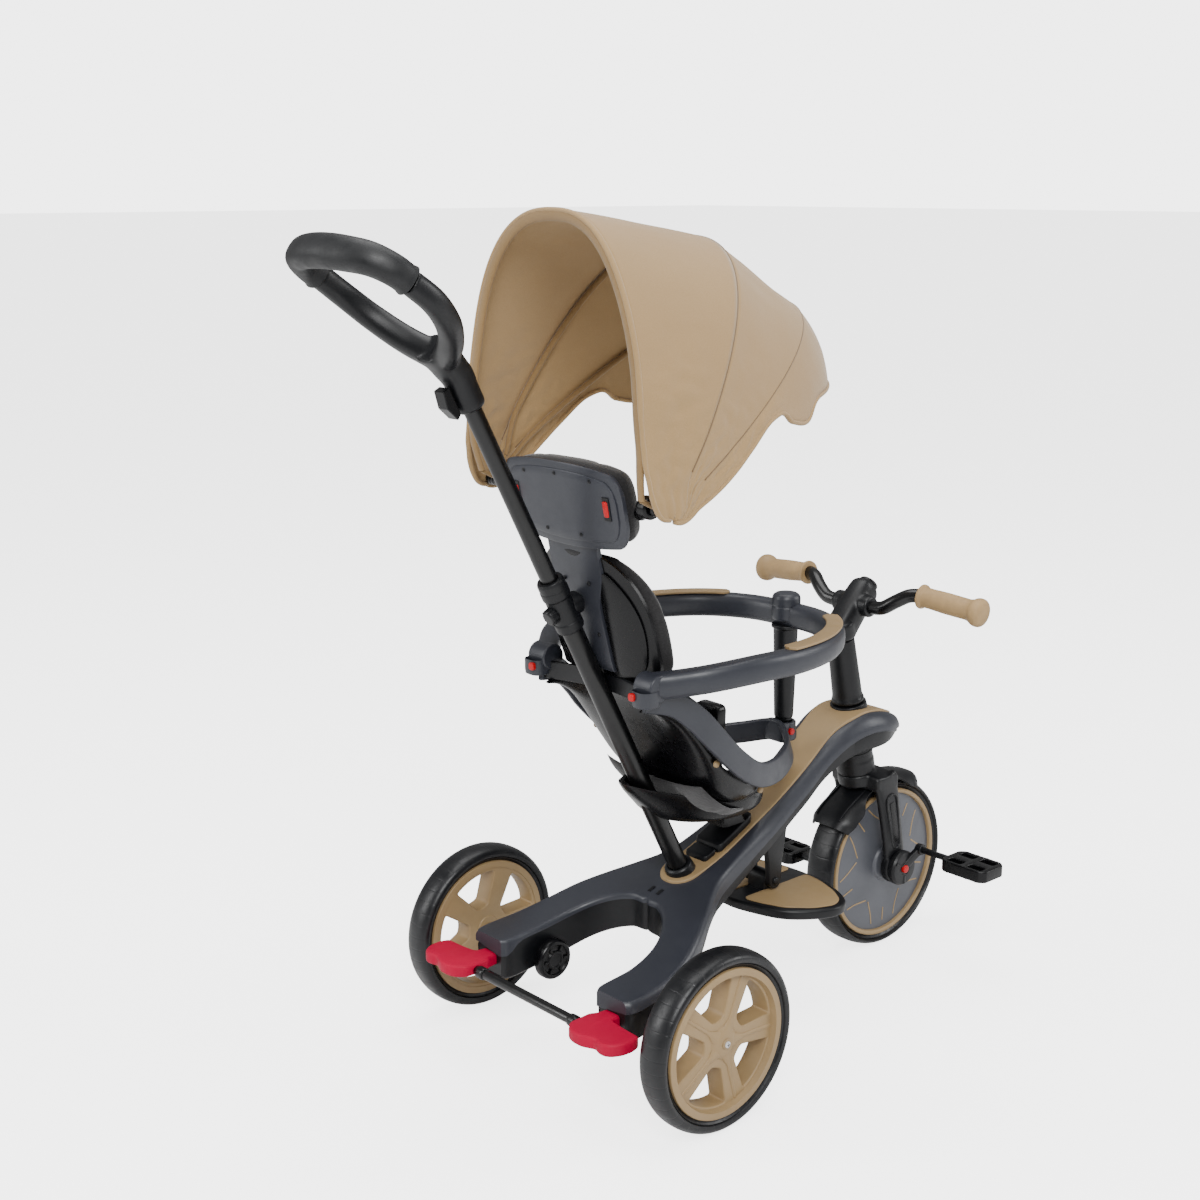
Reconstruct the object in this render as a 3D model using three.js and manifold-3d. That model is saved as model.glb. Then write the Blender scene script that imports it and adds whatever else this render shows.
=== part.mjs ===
// A children's tricycle with a push handle, parasol canopy and guard ring.
// Millimetres. +X is forward, +Y is the rider's left, +Z is up, and z = 0 is the ground.
// Shapes are written from the rear axle (x = 0); the group is then moved so that the
// origin is at the bottom centre of the whole object.

import * as THREE from "three";
import { mergeVertices } from "three/addons/utils/BufferGeometryUtils.js";
import Module from "manifold-3d";

const wasm = await Module();
wasm.setup();

// ---------------------------------------------------------------- driving dimensions

const rearWheelRadius = 111;
const rearTyreWidth = 40;
const rearRimRadius = 92;
const halfTrack = 223;
const frontWheelRadius = 125;
const frontTyreWidth = 48;
const frontRimRadius = 110;
const wheelbase = 552.6;
const originFromRearAxle = 151.6;

const gap = 0.35;
const axleRadius = 6;
const wallThickness = 4;

const steerLowPoint = v(508, 0, 256);
const steerDirection = v(-0.2078, 0, 0.9782).normalize();
const steererRadius = 12;

const pushTubeFoot = v(156, 0, 215);
const pushTubeDirection = v(-330, 0, 630).normalize();
const pushTubeRadius = 13;
const slidingTubeRadius = 10.5;

const crankOffset = v(25.4, 0, 25);
const pedalCentreY = 154;

const canopyHinge = v(-23, 0, 730);
const canopyRibLayers = { rear: 140, mid: 146.5, front: 153 };
const clothThickness = 1.6;

const headrestFoot = v(-34, 0, 668);
const headrestUp = v(-0.2095, 0, 0.9778).normalize();
const headrestForward = v(0.9778, 0, 0.2095).normalize();
const headrestBend = 0.0006;

const guardHeight = 524;
const footrestHinge = v(312, 0, 163);
const brakeBar = v(-103, 0, 118);

// ---------------------------------------------------------------- small tools

function v(x, y, z) {
  return new THREE.Vector3(x, y, z);
}

function mixRange(value, low, high) {
  return THREE.MathUtils.smoothstep(value, low, high);
}

function profileOf(points) {
  const curve = new THREE.CatmullRomCurve3(points.map(([a, b]) => v(a, b, 0)), false, "centripetal");
  const samples = curve.getPoints(points.length * 12);
  return (a) => {
    const k = samples.findIndex((p) => p.x >= a);
    if (k === 0) return samples[0].y;
    if (k < 0) return samples[samples.length - 1].y;
    const [p, q] = [samples[k - 1], samples[k]];
    return p.y + ((q.y - p.y) * (a - p.x)) / (q.x - p.x);
  };
}

function smoothPath(points, count, closed = false) {
  const curve = new THREE.CatmullRomCurve3(points, closed, "centripetal");
  const path = curve.getSpacedPoints(count);
  return closed ? path.slice(0, -1) : path;
}

function steps(low, high, count) {
  return Array.from({ length: count + 1 }, (_, i) => low + ((high - low) * i) / count);
}

function geometryFrom(points, index) {
  const geometry = new THREE.BufferGeometry();
  const numbers = points.flatMap((p) => [p.x, p.y, p.z]);
  geometry.setAttribute("position", new THREE.Float32BufferAttribute(numbers, 3));
  let volume = 0;
  for (let i = 0; i < index.length; i += 3) {
    const [a, b, c] = [points[index[i]], points[index[i + 1]], points[index[i + 2]]];
    volume += a.dot(b.clone().cross(c));
  }
  geometry.setIndex(volume >= 0 ? index : index.slice().reverse());
  return geometry;
}

function capOf(ring, start, flipped) {
  const normal = v(0, 0, 0);
  ring.forEach((p, i) => {
    normal.add(p.clone().cross(ring[(i + 1) % ring.length]));
  });
  normal.normalize();
  const helper = Math.abs(normal.z) < 0.8 ? v(0, 0, 1) : v(1, 0, 0);
  const across = helper.cross(normal).normalize();
  const up = normal.clone().cross(across);
  const flat = ring.map((p) => new THREE.Vector2(p.dot(across), p.dot(up)));
  const faces = THREE.ShapeUtils.triangulateShape(flat, []);
  return faces.flatMap(([a, b, c]) => (flipped ? [start + c, start + b, start + a] : [start + a, start + b, start + c]));
}

// A solid through a row of rings that all have the same number of points.
function loft(rings, closed = false) {
  const size = rings[0].length;
  const points = rings.flat();
  const index = [];
  const spans = closed ? rings.length : rings.length - 1;
  for (let i = 0; i < spans; i++) {
    const a = i * size;
    const b = ((i + 1) % rings.length) * size;
    for (let j = 0; j < size; j++) {
      const k = (j + 1) % size;
      index.push(a + j, b + j, a + k, a + k, b + j, b + k);
    }
  }
  if (!closed) {
    index.push(...capOf(rings[0], 0, false));
    index.push(...capOf(rings[rings.length - 1], (rings.length - 1) * size, true));
  }
  return geometryFrom(points, index);
}

// A sheet of even thickness over a grid of points, closed round its edges.
function sheet(grid, thickness) {
  const rows = grid.length;
  const columns = grid[0].length;
  const at = (i, j) => grid[Math.min(Math.max(i, 0), rows - 1)][Math.min(Math.max(j, 0), columns - 1)];
  const outer = [];
  const inner = [];
  for (let i = 0; i < rows; i++) {
    for (let j = 0; j < columns; j++) {
      const alongRow = at(i, j + 1).clone().sub(at(i, j - 1));
      const alongColumn = at(i + 1, j).clone().sub(at(i - 1, j));
      const normal = alongColumn.cross(alongRow).normalize();
      outer.push(at(i, j).clone());
      inner.push(at(i, j).clone().addScaledVector(normal, -thickness));
    }
  }
  const index = [];
  const shift = rows * columns;
  for (let i = 0; i < rows - 1; i++) {
    for (let j = 0; j < columns - 1; j++) {
      const [a, b, c, d] = [i * columns + j, i * columns + j + 1, (i + 1) * columns + j, (i + 1) * columns + j + 1];
      index.push(a, c, b, b, c, d);
      index.push(shift + a, shift + b, shift + c, shift + b, shift + d, shift + c);
    }
  }
  const edge = [];
  for (let j = 0; j < columns - 1; j++) edge.push(j);
  for (let i = 0; i < rows - 1; i++) edge.push(i * columns + columns - 1);
  for (let j = columns - 1; j > 0; j--) edge.push((rows - 1) * columns + j);
  for (let i = rows - 1; i > 0; i--) edge.push(i * columns);
  edge.forEach((a, i) => {
    const b = edge[(i + 1) % edge.length];
    index.push(a, b, shift + a, b, shift + b, shift + a);
  });
  return geometryFrom([...outer, ...inner], index);
}

function oval(width, height, sides = 14, power = 2) {
  return steps(0, 2 * Math.PI, sides).slice(0, -1).map((t) => {
    const c = Math.cos(t);
    const s = Math.sin(t);
    return [
      (Math.sign(c) * Math.abs(c) ** (2 / power) * width) / 2,
      (Math.sign(s) * Math.abs(s) ** (2 / power) * height) / 2,
    ];
  });
}

function chamferedBox(width, height, chamfer) {
  const [a, b] = [width / 2, height / 2];
  return [
    [a - chamfer, -b], [a, chamfer - b], [a, b - chamfer], [a - chamfer, b],
    [chamfer - a, b], [-a, b - chamfer], [-a, chamfer - b], [chamfer - a, -b],
  ];
}

// A section carried along a path of points; `up` keeps it from turning.
function sweep(section, path, { up = v(0, 0, 1), closed = false, size = () => [1, 1] } = {}) {
  const last = path.length - 1;
  const rings = path.map((point, i) => {
    const before = closed ? path[(i + last) % path.length] : path[Math.max(i - 1, 0)];
    const after = closed ? path[(i + 1) % path.length] : path[Math.min(i + 1, last)];
    const along = after.clone().sub(before).normalize();
    const side = along.clone().cross(up).normalize();
    const top = side.clone().cross(along);
    const [wide, high] = size(i / last);
    return section.map(([a, b]) => point.clone().addScaledVector(side, a * wide).addScaledVector(top, b * high));
  });
  return loft(rings, closed);
}

// A turned piece: the profile holds [radius, distance along the axis].
function turned(profile, base, direction, segments = 18) {
  const points = profile.map(([r, h]) => new THREE.Vector2(r, h));
  const geometry = new THREE.LatheGeometry(points, segments);
  geometry.applyQuaternion(new THREE.Quaternion().setFromUnitVectors(v(0, 1, 0), direction.clone().normalize()));
  return geometry.translate(base.x, base.y, base.z);
}

function rod(radius, from, to, segments = 12) {
  const length = to.distanceTo(from);
  return turned([[0, 0], [radius, 0], [radius, length], [0, length]], from, to.clone().sub(from), segments);
}

function block(low, high) {
  const size = high.clone().sub(low);
  const centre = low.clone().add(high).multiplyScalar(0.5);
  return new THREE.BoxGeometry(size.x, size.y, size.z).translate(centre.x, centre.y, centre.z);
}

function toSolid(source) {
  const bare = source.clone();
  bare.deleteAttribute("normal");
  bare.deleteAttribute("uv");
  const merged = mergeVertices(bare, 1e-4);
  const all = merged.index.array;
  const kept = [];
  for (let i = 0; i < all.length; i += 3) {
    const [a, b, c] = [all[i], all[i + 1], all[i + 2]];
    if (a !== b && b !== c && c !== a) kept.push(a, b, c);
  }
  const mesh = new wasm.Mesh({
    numProp: 3,
    vertProperties: new Float32Array(merged.attributes.position.array),
    triVerts: new Uint32Array(kept),
  });
  return new wasm.Manifold(mesh);
}

function toGeometry(solid) {
  const mesh = solid.getMesh();
  const geometry = new THREE.BufferGeometry();
  geometry.setAttribute("position", new THREE.Float32BufferAttribute(mesh.vertProperties, 3));
  geometry.setIndex(Array.from(mesh.triVerts));
  return geometry;
}

function join(...pieces) {
  return toGeometry(pieces.map(toSolid).reduce((whole, piece) => whole.add(piece)));
}

function cut(piece, ...tools) {
  return toGeometry(tools.map(toSolid).reduce((whole, tool) => whole.subtract(tool), toSolid(piece)));
}

function mirrored(geometry) {
  const copy = geometry.clone().scale(1, -1, 1);
  if (!copy.index) copy.setIndex([...Array(copy.attributes.position.count).keys()]);
  copy.setIndex(Array.from(copy.index.array).reverse());
  return copy;
}

function steerAxisAt(height) {
  return steerLowPoint.clone().addScaledVector(steerDirection, (height - steerLowPoint.z) / steerDirection.z);
}

function pushTubeAt(distance) {
  return pushTubeFoot.clone().addScaledVector(pushTubeDirection, distance);
}

// ---------------------------------------------------------------- materials

const paint = {
  slate: new THREE.MeshStandardMaterial({ color: 0x4a4d57, roughness: 0.55 }),
  tan: new THREE.MeshStandardMaterial({ color: 0xa88f70, roughness: 0.6 }),
  black: new THREE.MeshStandardMaterial({ color: 0x1b1c20, roughness: 0.5 }),
  gloss: new THREE.MeshStandardMaterial({ color: 0x101012, roughness: 0.25 }),
  rubber: new THREE.MeshStandardMaterial({ color: 0x1c1d22, roughness: 0.85 }),
  disc: new THREE.MeshStandardMaterial({ color: 0x6a6c72, roughness: 0.5 }),
  crimson: new THREE.MeshStandardMaterial({ color: 0xcc0a3c, roughness: 0.45 }),
  red: new THREE.MeshStandardMaterial({ color: 0xc22a30, roughness: 0.4 }),
  steel: new THREE.MeshStandardMaterial({ color: 0xa8a8aa, roughness: 0.3, metalness: 1 }),
  cloth: new THREE.MeshStandardMaterial({ color: 0xb9a07f, roughness: 0.95 }),
  padding: new THREE.MeshStandardMaterial({ color: 0x17171a, roughness: 0.95 }),
};

const tricycle = new THREE.Group();
tricycle.position.x = -originFromRearAxle;

function add(name, geometry, material) {
  const mesh = new THREE.Mesh(geometry, material.clone());
  mesh.name = name;
  tricycle.add(mesh);
}

function addPair(name, leftGeometry, material) {
  add(`${name}_left`, leftGeometry, material);
  add(`${name}_right`, mirrored(leftGeometry), material);
}

// ---------------------------------------------------------------- frame

const frameTop = profileOf([
  [-90, 148], [-40, 152], [0, 157], [40, 168], [80, 184], [110, 195], [148, 208], [201, 224], [256, 250],
  [311, 278], [369, 314], [410, 344], [440, 360], [470, 368], [500, 367], [530, 359], [560, 345], [590, 318],
]);

// Each row: inner edge x and y, outer edge x and y, and the depth of the side walls.
const frameStations = [
  [-70, 91, -70, 143, 50], [-62, 86, -62, 148, 54], [-10, 84, -8, 145, 55], [34, 76, 40, 133, 54],
  [60, 64, 76, 118, 52], [82, 44, 112, 97, 50], [94, 22, 146, 75, 48], [97, 0, 172, 61, 47], [130, -1, 200, 53, 47],
  [210, -1, 245, 48, 47], [270, -1, 285, 45, 47], [330, -1, 330, 42, 46], [360, -1, 360, 41.5, 46], [390, -1, 390, 41, 46], [440, -1, 440, 48, 50],
  [480, -1, 480, 53, 52], [515, -1, 515, 52, 46], [546, -1, 546, 40, 31], [566, -1, 566, 25, 21], [576, -1, 576, 8, 16],
];

function frameRing([innerX, innerY, outerX, outerY, depth], inset) {
  const span = Math.hypot(outerX - innerX, outerY - innerY);
  const onSpine = innerY <= 0;
  const innerInset = onSpine && innerX > 100 ? 0 : inset;
  const rim = Math.min(18, span * 0.35);
  const corner = onSpine ? 0 : 5;
  const spot = (offset, drop) => {
    const t = offset / span;
    const x = innerX + (outerX - innerX) * t;
    const y = innerY + (outerY - innerY) * t;
    return v(x, y, frameTop(x) - drop);
  };
  const bottom = inset > 0 ? depth + 8 : depth;
  if (inset > 0) {
    return [
      spot(innerInset, inset), spot(span - rim - inset, inset), spot(span - inset - 5, 20), spot(span - inset - 7, bottom),
      spot(innerInset, bottom),
    ];
  }
  return [
    spot(innerInset + corner, inset),
    spot(span - rim, 0),
    spot(span - rim * 0.35, 8),
    spot(span, 18),
    spot(span - 1.5, 26),
    spot(span - 5, bottom),
    spot(onSpine ? 0 : 2, bottom),
    spot(0, onSpine ? bottom * 0.3 : 6),
  ];
}

function frameHalves() {
  const outside = loft(frameStations.map((row) => frameRing(row, 0)));
  return [outside, mirrored(outside)];
}

function frameBody() {
  const hollowRows = frameStations.slice(1, 17);
  const hollow = loft(hollowRows.map((row) => frameRing(row, wallThickness)));
  return cut(join(...frameHalves()), join(hollow, mirrored(hollow)));
}

function makeFrame() {
  const steererHole = rod(27 + gap, steerAxisAt(220), steerAxisAt(420), 20);
  const tubeHole = rod(pushTubeRadius + gap, pushTubeAt(-60), pushTubeAt(40), 16);
  const axleHole = rod(axleRadius + gap, v(0, -180, rearWheelRadius), v(0, 180, rearWheelRadius), 16);
  const brakeSlot = block(v(-80, 96, 80), v(-60, 138, 132));
  const shell = cut(frameBody(), steererHole, tubeHole, axleHole, brakeSlot, mirrored(brakeSlot));
  add("frame_shell", shell, paint.slate);

  const tip = 132;
  const nose = 560;
  const halfWidth = (x) => {
    const rearRound = Math.sqrt(Math.max(0, 1 - (1 - Math.min(1, (x - tip) / 28)) ** 2));
    const frontRound = Math.sqrt(Math.max(0, 1 - (1 - Math.min(1, (nose - x) / 60)) ** 2));
    const head = 8 * mixRange(x, 410, 465);
    return 0.6 + (28 + head) * rearRound * frontRound;
  };
  const rows = [tip, tip + 2, tip + 6, tip + 12, tip + 20, ...steps(tip + 30, nose - 60, 10)];
  rows.push(nose - 44, nose - 28, nose - 14, nose - 6, nose - 2, nose);
  const rings = rows.map((x) => {
    const w = halfWidth(x);
    const low = frameTop(x) + 1.9;
    const bevel = Math.min(1, w * 0.3);
    return [
      v(x, -w, low), v(x, w, low), v(x, w, low + 1.6), v(x, w - bevel, low + 2.4),
      v(x, bevel - w, low + 2.4), v(x, -w, low + 1.6),
    ];
  });
  add("frame_inlay", cut(loft(rings), steererHole, tubeHole), paint.tan);
}

function makeHeadTube() {
  const low = 272;
  const length = (377 - low) / steerDirection.z;
  const bore = steererRadius + gap;
  const profile = [
    [bore, 0], [25, 0], [27, 3], [27, 18], [26, 24], [26, length - 6], [24.5, length], [bore, length], [bore, 0],
  ];
  add("head_tube", turned(profile, steerAxisAt(low), steerDirection), paint.black);
}

function makeRearAxle() {
  const end = halfTrack + 17;
  const profile = [
    [0, 66], [24, 66], [27, 69], [27, 78], [axleRadius, 78], [axleRadius, end], [9, end], [9, end + 3.5],
    [7.5, end + 5], [0, end + 5],
  ];
  addPair("rear_axle", turned(profile, v(0, 0, rearWheelRadius), v(0, 1, 0), 16), paint.black);
}

// ---------------------------------------------------------------- wheels

function tyre(outer, inner, width, segments) {
  const half = width / 2;
  const flank = (outer - inner) * 0.55;
  const crown = steps(0, Math.PI, 6).map((t) => [
    inner + flank + (outer - inner - flank) * Math.sin(t),
    -half * Math.cos(t),
  ]);
  return turned([[inner, -half * 0.8], ...crown, [inner, half * 0.8], [inner, -half * 0.8]], v(0, 0, 0), v(0, 1, 0), segments);
}

function windowShape(inner, outer, halfInnerAngle, halfOuterAngle) {
  const corner = (r, a) => new THREE.Vector2(r * Math.cos(a), r * Math.sin(a));
  const shape = new THREE.Shape();
  const soften = 0.16;
  const start = corner(outer, -halfOuterAngle * (1 - soften));
  shape.moveTo(start.x, start.y);
  shape.absarc(0, 0, outer, -halfOuterAngle * (1 - soften), halfOuterAngle * (1 - soften), false);
  const side = corner(outer * 0.9, halfOuterAngle * 1.02);
  const top = corner(outer, halfOuterAngle);
  shape.quadraticCurveTo(top.x, top.y, side.x, side.y);
  const low = corner(inner, halfInnerAngle);
  const tip = corner(inner * 0.92, 0);
  shape.lineTo(low.x, low.y);
  shape.quadraticCurveTo(tip.x, tip.y, low.x, -low.y);
  shape.lineTo(side.x, -side.y);
  shape.quadraticCurveTo(top.x, -top.y, start.x, start.y);
  return shape;
}

function rearRim() {
  const barrel = turned(
    [[83, -18], [rearRimRadius - 1, -18], [rearRimRadius - 1, 18], [83, 18], [80.5, 0], [83, -18]],
    v(0, 0, 0), v(0, 1, 0), 20,
  );
  const disc = new THREE.Shape();
  disc.absarc(0, 0, 82.5, 0, 2 * Math.PI);
  for (let k = 0; k < 5; k++) {
    const turn = (k * 2 * Math.PI) / 5 + 0.3;
    const outline = windowShape(29, 78, 0.3, 0.46).getPoints(2);
    disc.holes.push(new THREE.Path(outline.map((p) => p.rotateAround(new THREE.Vector2(0, 0), turn))));
  }
  const spokes = new THREE.ExtrudeGeometry(disc, { depth: 12, bevelEnabled: false, curveSegments: 10 });
  spokes.translate(0, 0, -6).rotateX(-Math.PI / 2);
  const hub = rod(17, v(0, -18, 0), v(0, 16, 0), 16);
  const bore = rod(axleRadius + gap, v(0, -30, 0), v(0, 30, 0));
  return cut(join(barrel, spokes, hub), bore);
}

function makeRearWheels() {
  const rubber = tyre(rearWheelRadius, rearRimRadius, rearTyreWidth, 24);
  const rim = rearRim();
  for (const [side, sign] of [["left", 1], ["right", -1]]) {
    const place = (geometry) => geometry.clone().translate(0, sign * halfTrack, rearWheelRadius);
    add(`rear_tyre_${side}`, place(rubber), paint.rubber);
    add(`rear_rim_${side}`, place(sign > 0 ? rim : mirrored(rim)), paint.tan);
  }
}

function makeFrontWheel() {
  const centre = v(wheelbase, 0, frontWheelRadius);
  const across = v(0, 1, 0);
  const rubber = tyre(frontWheelRadius, frontRimRadius, frontTyreWidth, 28);
  add("front_tyre", rubber.translate(centre.x, 0, centre.z), paint.rubber);
  const inner = 101;
  const rim = [
    [inner, -19], [inner + 2, -21], [frontRimRadius - 1, -20], [frontRimRadius - 1, 20],
    [inner + 2, 21], [inner, 19], [inner, -19],
  ];
  add("front_rim", turned(rim, centre, across, 28), paint.tan);
  const edge = inner - gap;
  const bore = axleRadius + gap;
  const disc = [
    [bore, -24], [22, -24], [25, -20], [edge, -16], [edge, 16], [25, 20], [22, 24], [bore, 24], [bore, -24],
  ];
  add("front_disc", turned(disc, centre, across, 28), paint.disc);
}

// ---------------------------------------------------------------- steering

function forkBlade() {
  const hub = v(wheelbase, 37, frontWheelRadius);
  const path = smoothPath([v(524, 37, 262), v(531, 37.5, 235), v(541, 38, 185), v(550, 37.5, 140), hub], 6);
  const blade = sweep(oval(30, 12, 8, 3.2), path, { up: v(0, 1, 0), size: (t) => [1 - 0.16 * t, 1] });
  const eye = rod(21, v(hub.x, 31, hub.z), v(hub.x, 44, hub.z), 16);
  return join(blade, eye);
}

function makeFork() {
  const wheelRoom = rod(133.5, v(wheelbase, -60, frontWheelRadius), v(wheelbase, 60, frontWheelRadius), 28);
  const innerRoom = block(v(430, -30.6, 60), v(680, 30.6, 246));
  const bridge = cut(loft(steps(-43, 43, 4).map((y) => {
    const lift = 6 * (1 - (y / 43) ** 2);
    return chamferedBox(46, 20 + lift, 3).map(([a, b]) => v(526 + a - lift, y, 256 + lift * 0.5 + b));
  })), wheelRoom);
  const crown = cut(turned([[0, 0], [27, 0], [27, 15], [25, 17], [0, 17]], steerAxisAt(254), steerDirection), wheelRoom);
  const steerer = rod(steererRadius, steerAxisAt(262), steerAxisAt(379));
  const blade = cut(forkBlade(), innerRoom);
  const axleHole = rod(axleRadius + gap, v(wheelbase, -60, frontWheelRadius), v(wheelbase, 60, frontWheelRadius));
  add("fork", cut(join(bridge, crown, steerer, blade, mirrored(blade)), axleHole), paint.black);
}

function makeFender() {
  const rows = steps(66, 143, 11).map((degrees) => {
    const angle = THREE.MathUtils.degToRad(degrees);
    const atEnds = mixRange(Math.abs(degrees - 100), 14, 30);
    const halfWidth = 28.5 + 8 * atEnds;
    const radius = 129.4 + 7 * mixRange(Math.abs(degrees - 100), 16, 43);
    return steps(-1, 1, 6).map((u) => {
      const r = radius - 13 * u ** 4 * atEnds - 3 * u ** 2;
      return v(wheelbase + r * Math.cos(angle), u * halfWidth, frontWheelRadius + r * Math.sin(angle));
    });
  });
  add("fender", sheet(rows, 2.6), paint.black);
}

function makeSteering() {
  const columnFoot = 379;
  const columnLength = 94;
  const column = [[0, 0], [22.5, 0], [22.5, 5], [21, 8], [18.5, columnLength], [0, columnLength]];
  add("steering_column", turned(column, steerAxisAt(columnFoot), steerDirection, 20), paint.black);

  const barHole = rod(9.5 + gap, v(489, -60, 516), v(489, 60, 516));
  const socket = turned([[0, 0], [20.5, 0], [21, 4], [21, 24], [0, 24]], steerAxisAt(472.5), steerDirection);
  const neck = smoothPath([v(459, 0, 482), v(474, 0, 499), v(496, 0, 522), v(519, 0, 542)], 5);
  const head = sweep(oval(44, 38, 10, 3), neck, { up: v(0, 1, 0), size: (t) => [1 - 0.1 * t, 1 - 0.1 * t] });
  const cap = rod(15, v(517, 0, 540), v(523, 0, 545.5), 10);
  const columnRoom = rod(40, steerAxisAt(400), steerAxisAt(472));
  add("stem", cut(join(socket, head, cap), barHole, columnRoom), paint.black);

  const gripFoot = v(507.8, 100, 541.2);
  const gripDirection = v(516, 196, 532.6).sub(gripFoot).normalize();
  const alongGrip = (distance) => gripFoot.clone().addScaledVector(gripDirection, distance);
  const bend = smoothPath([v(489, 33, 516), v(488.5, 50, 519), v(493, 68, 530), v(501.5, 84, 539.5), alongGrip(-3)], 8);
  const halfBar = [...bend, alongGrip(40), alongGrip(88)];
  const whole = [...halfBar.slice().reverse().map((p) => v(p.x, -p.y, p.z)), ...halfBar];
  add("handlebar", sweep(oval(19, 19, 10), whole), paint.black);

  const bore = 9.5 + 1;
  const grip = [
    [bore, 0], [16.5, 0], [16.5, 4], [13.8, 7], [13.5, 40], [14, 78], [18.5, 86], [19, 92], [16, 97], [0, 98],
    [0, 90], [bore, 90], [bore, 0],
  ];
  addPair("grip", turned(grip, gripFoot, gripDirection, 12), paint.tan);
}

// ---------------------------------------------------------------- cranks and pedals

function pedalPoint(sign) {
  const offset = crankOffset.clone().multiplyScalar(-sign);
  return v(wheelbase + offset.x, sign * pedalCentreY, frontWheelRadius + offset.z);
}

function makeCrank() {
  const shaft = rod(axleRadius, v(wheelbase, -58, frontWheelRadius), v(wheelbase, 58, frontWheelRadius));
  const pieces = [shaft];
  for (const sign of [1, -1]) {
    const pin = pedalPoint(sign);
    const hub = (y) => v(wheelbase, sign * y, frontWheelRadius);
    pieces.push(rod(20, hub(45), hub(56), 14));
    const arm = [hub(53), v((wheelbase + pin.x) / 2, sign * 57, (frontWheelRadius + pin.z) / 2), v(pin.x, sign * 63, pin.z)];
    pieces.push(sweep(chamferedBox(13, 8, 2), smoothPath(arm, 6), { up: v(0, sign, 0) }));
    pieces.push(rod(8, v(pin.x, sign * 58, pin.z), v(pin.x, sign * 68, pin.z), 10));
    pieces.push(rod(4, v(pin.x, sign * 62, pin.z), v(pin.x, sign * 188, pin.z), 8));
  }
  const buttonRoom = rod(6.5, v(wheelbase, -52, frontWheelRadius), v(wheelbase, -70, frontWheelRadius), 14);
  add("crank", cut(join(...pieces), buttonRoom), paint.black);
  const button = rod(6, v(wheelbase, -55, frontWheelRadius), v(wheelbase, -60, frontWheelRadius), 14);
  add("clutch_button", button, paint.red);
}

function makePedals() {
  for (const [side, sign] of [["left", 1], ["right", -1]]) {
    const centre = pedalPoint(sign);
    const body = block(v(-27, -38, -9), v(27, 38, 9));
    const corners = [[-27, -38], [27, -38], [-27, 38], [27, 38]].map(([x, y]) => {
      const tool = block(v(-6, -6, -12), v(6, 6, 12));
      return tool.rotateZ(Math.PI / 4).translate(x, y, 0);
    });
    const openings = [[-15.5, -16], [15.5, -16], [-15.5, 16], [15.5, 16]].map(([x, y]) => {
      return block(v(x - 6, y - 13, -12), v(x + 6, y + 13, 12));
    });
    const bore = rod(4 + gap, v(0, -50, 0), v(0, 50, 0), 14);
    const pedal = cut(body, ...corners, ...openings, bore);
    add(`pedal_${side}`, pedal.translate(centre.x, centre.y, centre.z), paint.gloss);
  }
}

// ---------------------------------------------------------------- parking brake

function makeBrake() {
  const end = 100;
  add("brake_bar", rod(5.5, v(brakeBar.x, -end, brakeBar.z), v(brakeBar.x, end, brakeBar.z), 16), paint.gloss);
  const outline = [
    [-88, 97], [-80, 97], [-80, 102], [-50, 106], [-50, 126], [-80, 131], [-84, 181], [-112, 184], [-130, 170],
    [-127, 150], [-134, 134], [-131, 110], [-120, 99],
  ];
  const shape = new THREE.Shape(outline.map(([x, y]) => new THREE.Vector2(x, y)));
  const plate = new THREE.ExtrudeGeometry(shape, { depth: 12, bevelEnabled: true, bevelSize: 2, bevelThickness: 2, bevelSegments: 1, bevelOffset: -2 });
  plate.translate(0, 0, brakeBar.z - 4);
  const barHole = rod(5.5 + gap, v(brakeBar.x, 80, brakeBar.z), v(brakeBar.x, end + gap, brakeBar.z), 16);
  addPair("brake_pedal", cut(plate, barHole), paint.crimson);
}

// ---------------------------------------------------------------- footrest

function makeFootrest() {
  const cheek = (y) => loft([y, y + 9].map((side) => [
    ...steps(Math.PI, 2 * Math.PI, 6).map((a) => v(footrestHinge.x + 11 * Math.cos(a), side, footrestHinge.z + 11 * Math.sin(a))),
    v(330, side, frameTop(330) - 52), v(290, side, frameTop(290) - 52),
  ]));
  const roof = loft([-27, 27].map((side) => [
    v(286, side, frameTop(286) - 54), v(332, side, frameTop(332) - 54),
    v(332, side, frameTop(332) - 48.5), v(286, side, frameTop(286) - 48.5),
  ]));
  const hole = rod(4 + gap, v(footrestHinge.x, -40, footrestHinge.z), v(footrestHinge.x, 40, footrestHinge.z), 16);
  add("footrest_bracket", cut(join(cheek(17.5), cheek(-26.5), roof), hole), paint.black);

  const outline = smoothPath([
    v(250, 0, 0), v(256, 36, 0), v(272, 78, 0), v(306, 108, 0), v(336, 119, 0), v(358, 112, 0), v(378, 84, 0), v(391, 42, 0),
    v(395, 0, 0), v(391, -42, 0), v(378, -84, 0), v(358, -112, 0), v(336, -119, 0), v(306, -108, 0), v(272, -78, 0), v(256, -36, 0),
  ], 22, true);
  const shape = new THREE.Shape(outline.map((p) => new THREE.Vector2(p.x, p.y)));
  const plate = new THREE.ExtrudeGeometry(shape, {
    depth: 8, bevelEnabled: true, bevelSize: 3, bevelThickness: 3, bevelSegments: 1, bevelOffset: -3,
  });
  plate.translate(0, 0, 137);
  const knuckle = rod(11, v(footrestHinge.x, -17, footrestHinge.z), v(footrestHinge.x, 17, footrestHinge.z), 20);
  const root = block(v(footrestHinge.x - 9, -16, 145), v(footrestHinge.x + 9, 16, footrestHinge.z));
  const pin = rod(4, v(footrestHinge.x, -29, footrestHinge.z), v(footrestHinge.x, 29, footrestHinge.z), 16);
  add("footrest_plate", join(plate, knuckle, root, pin), paint.black);
}

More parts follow.
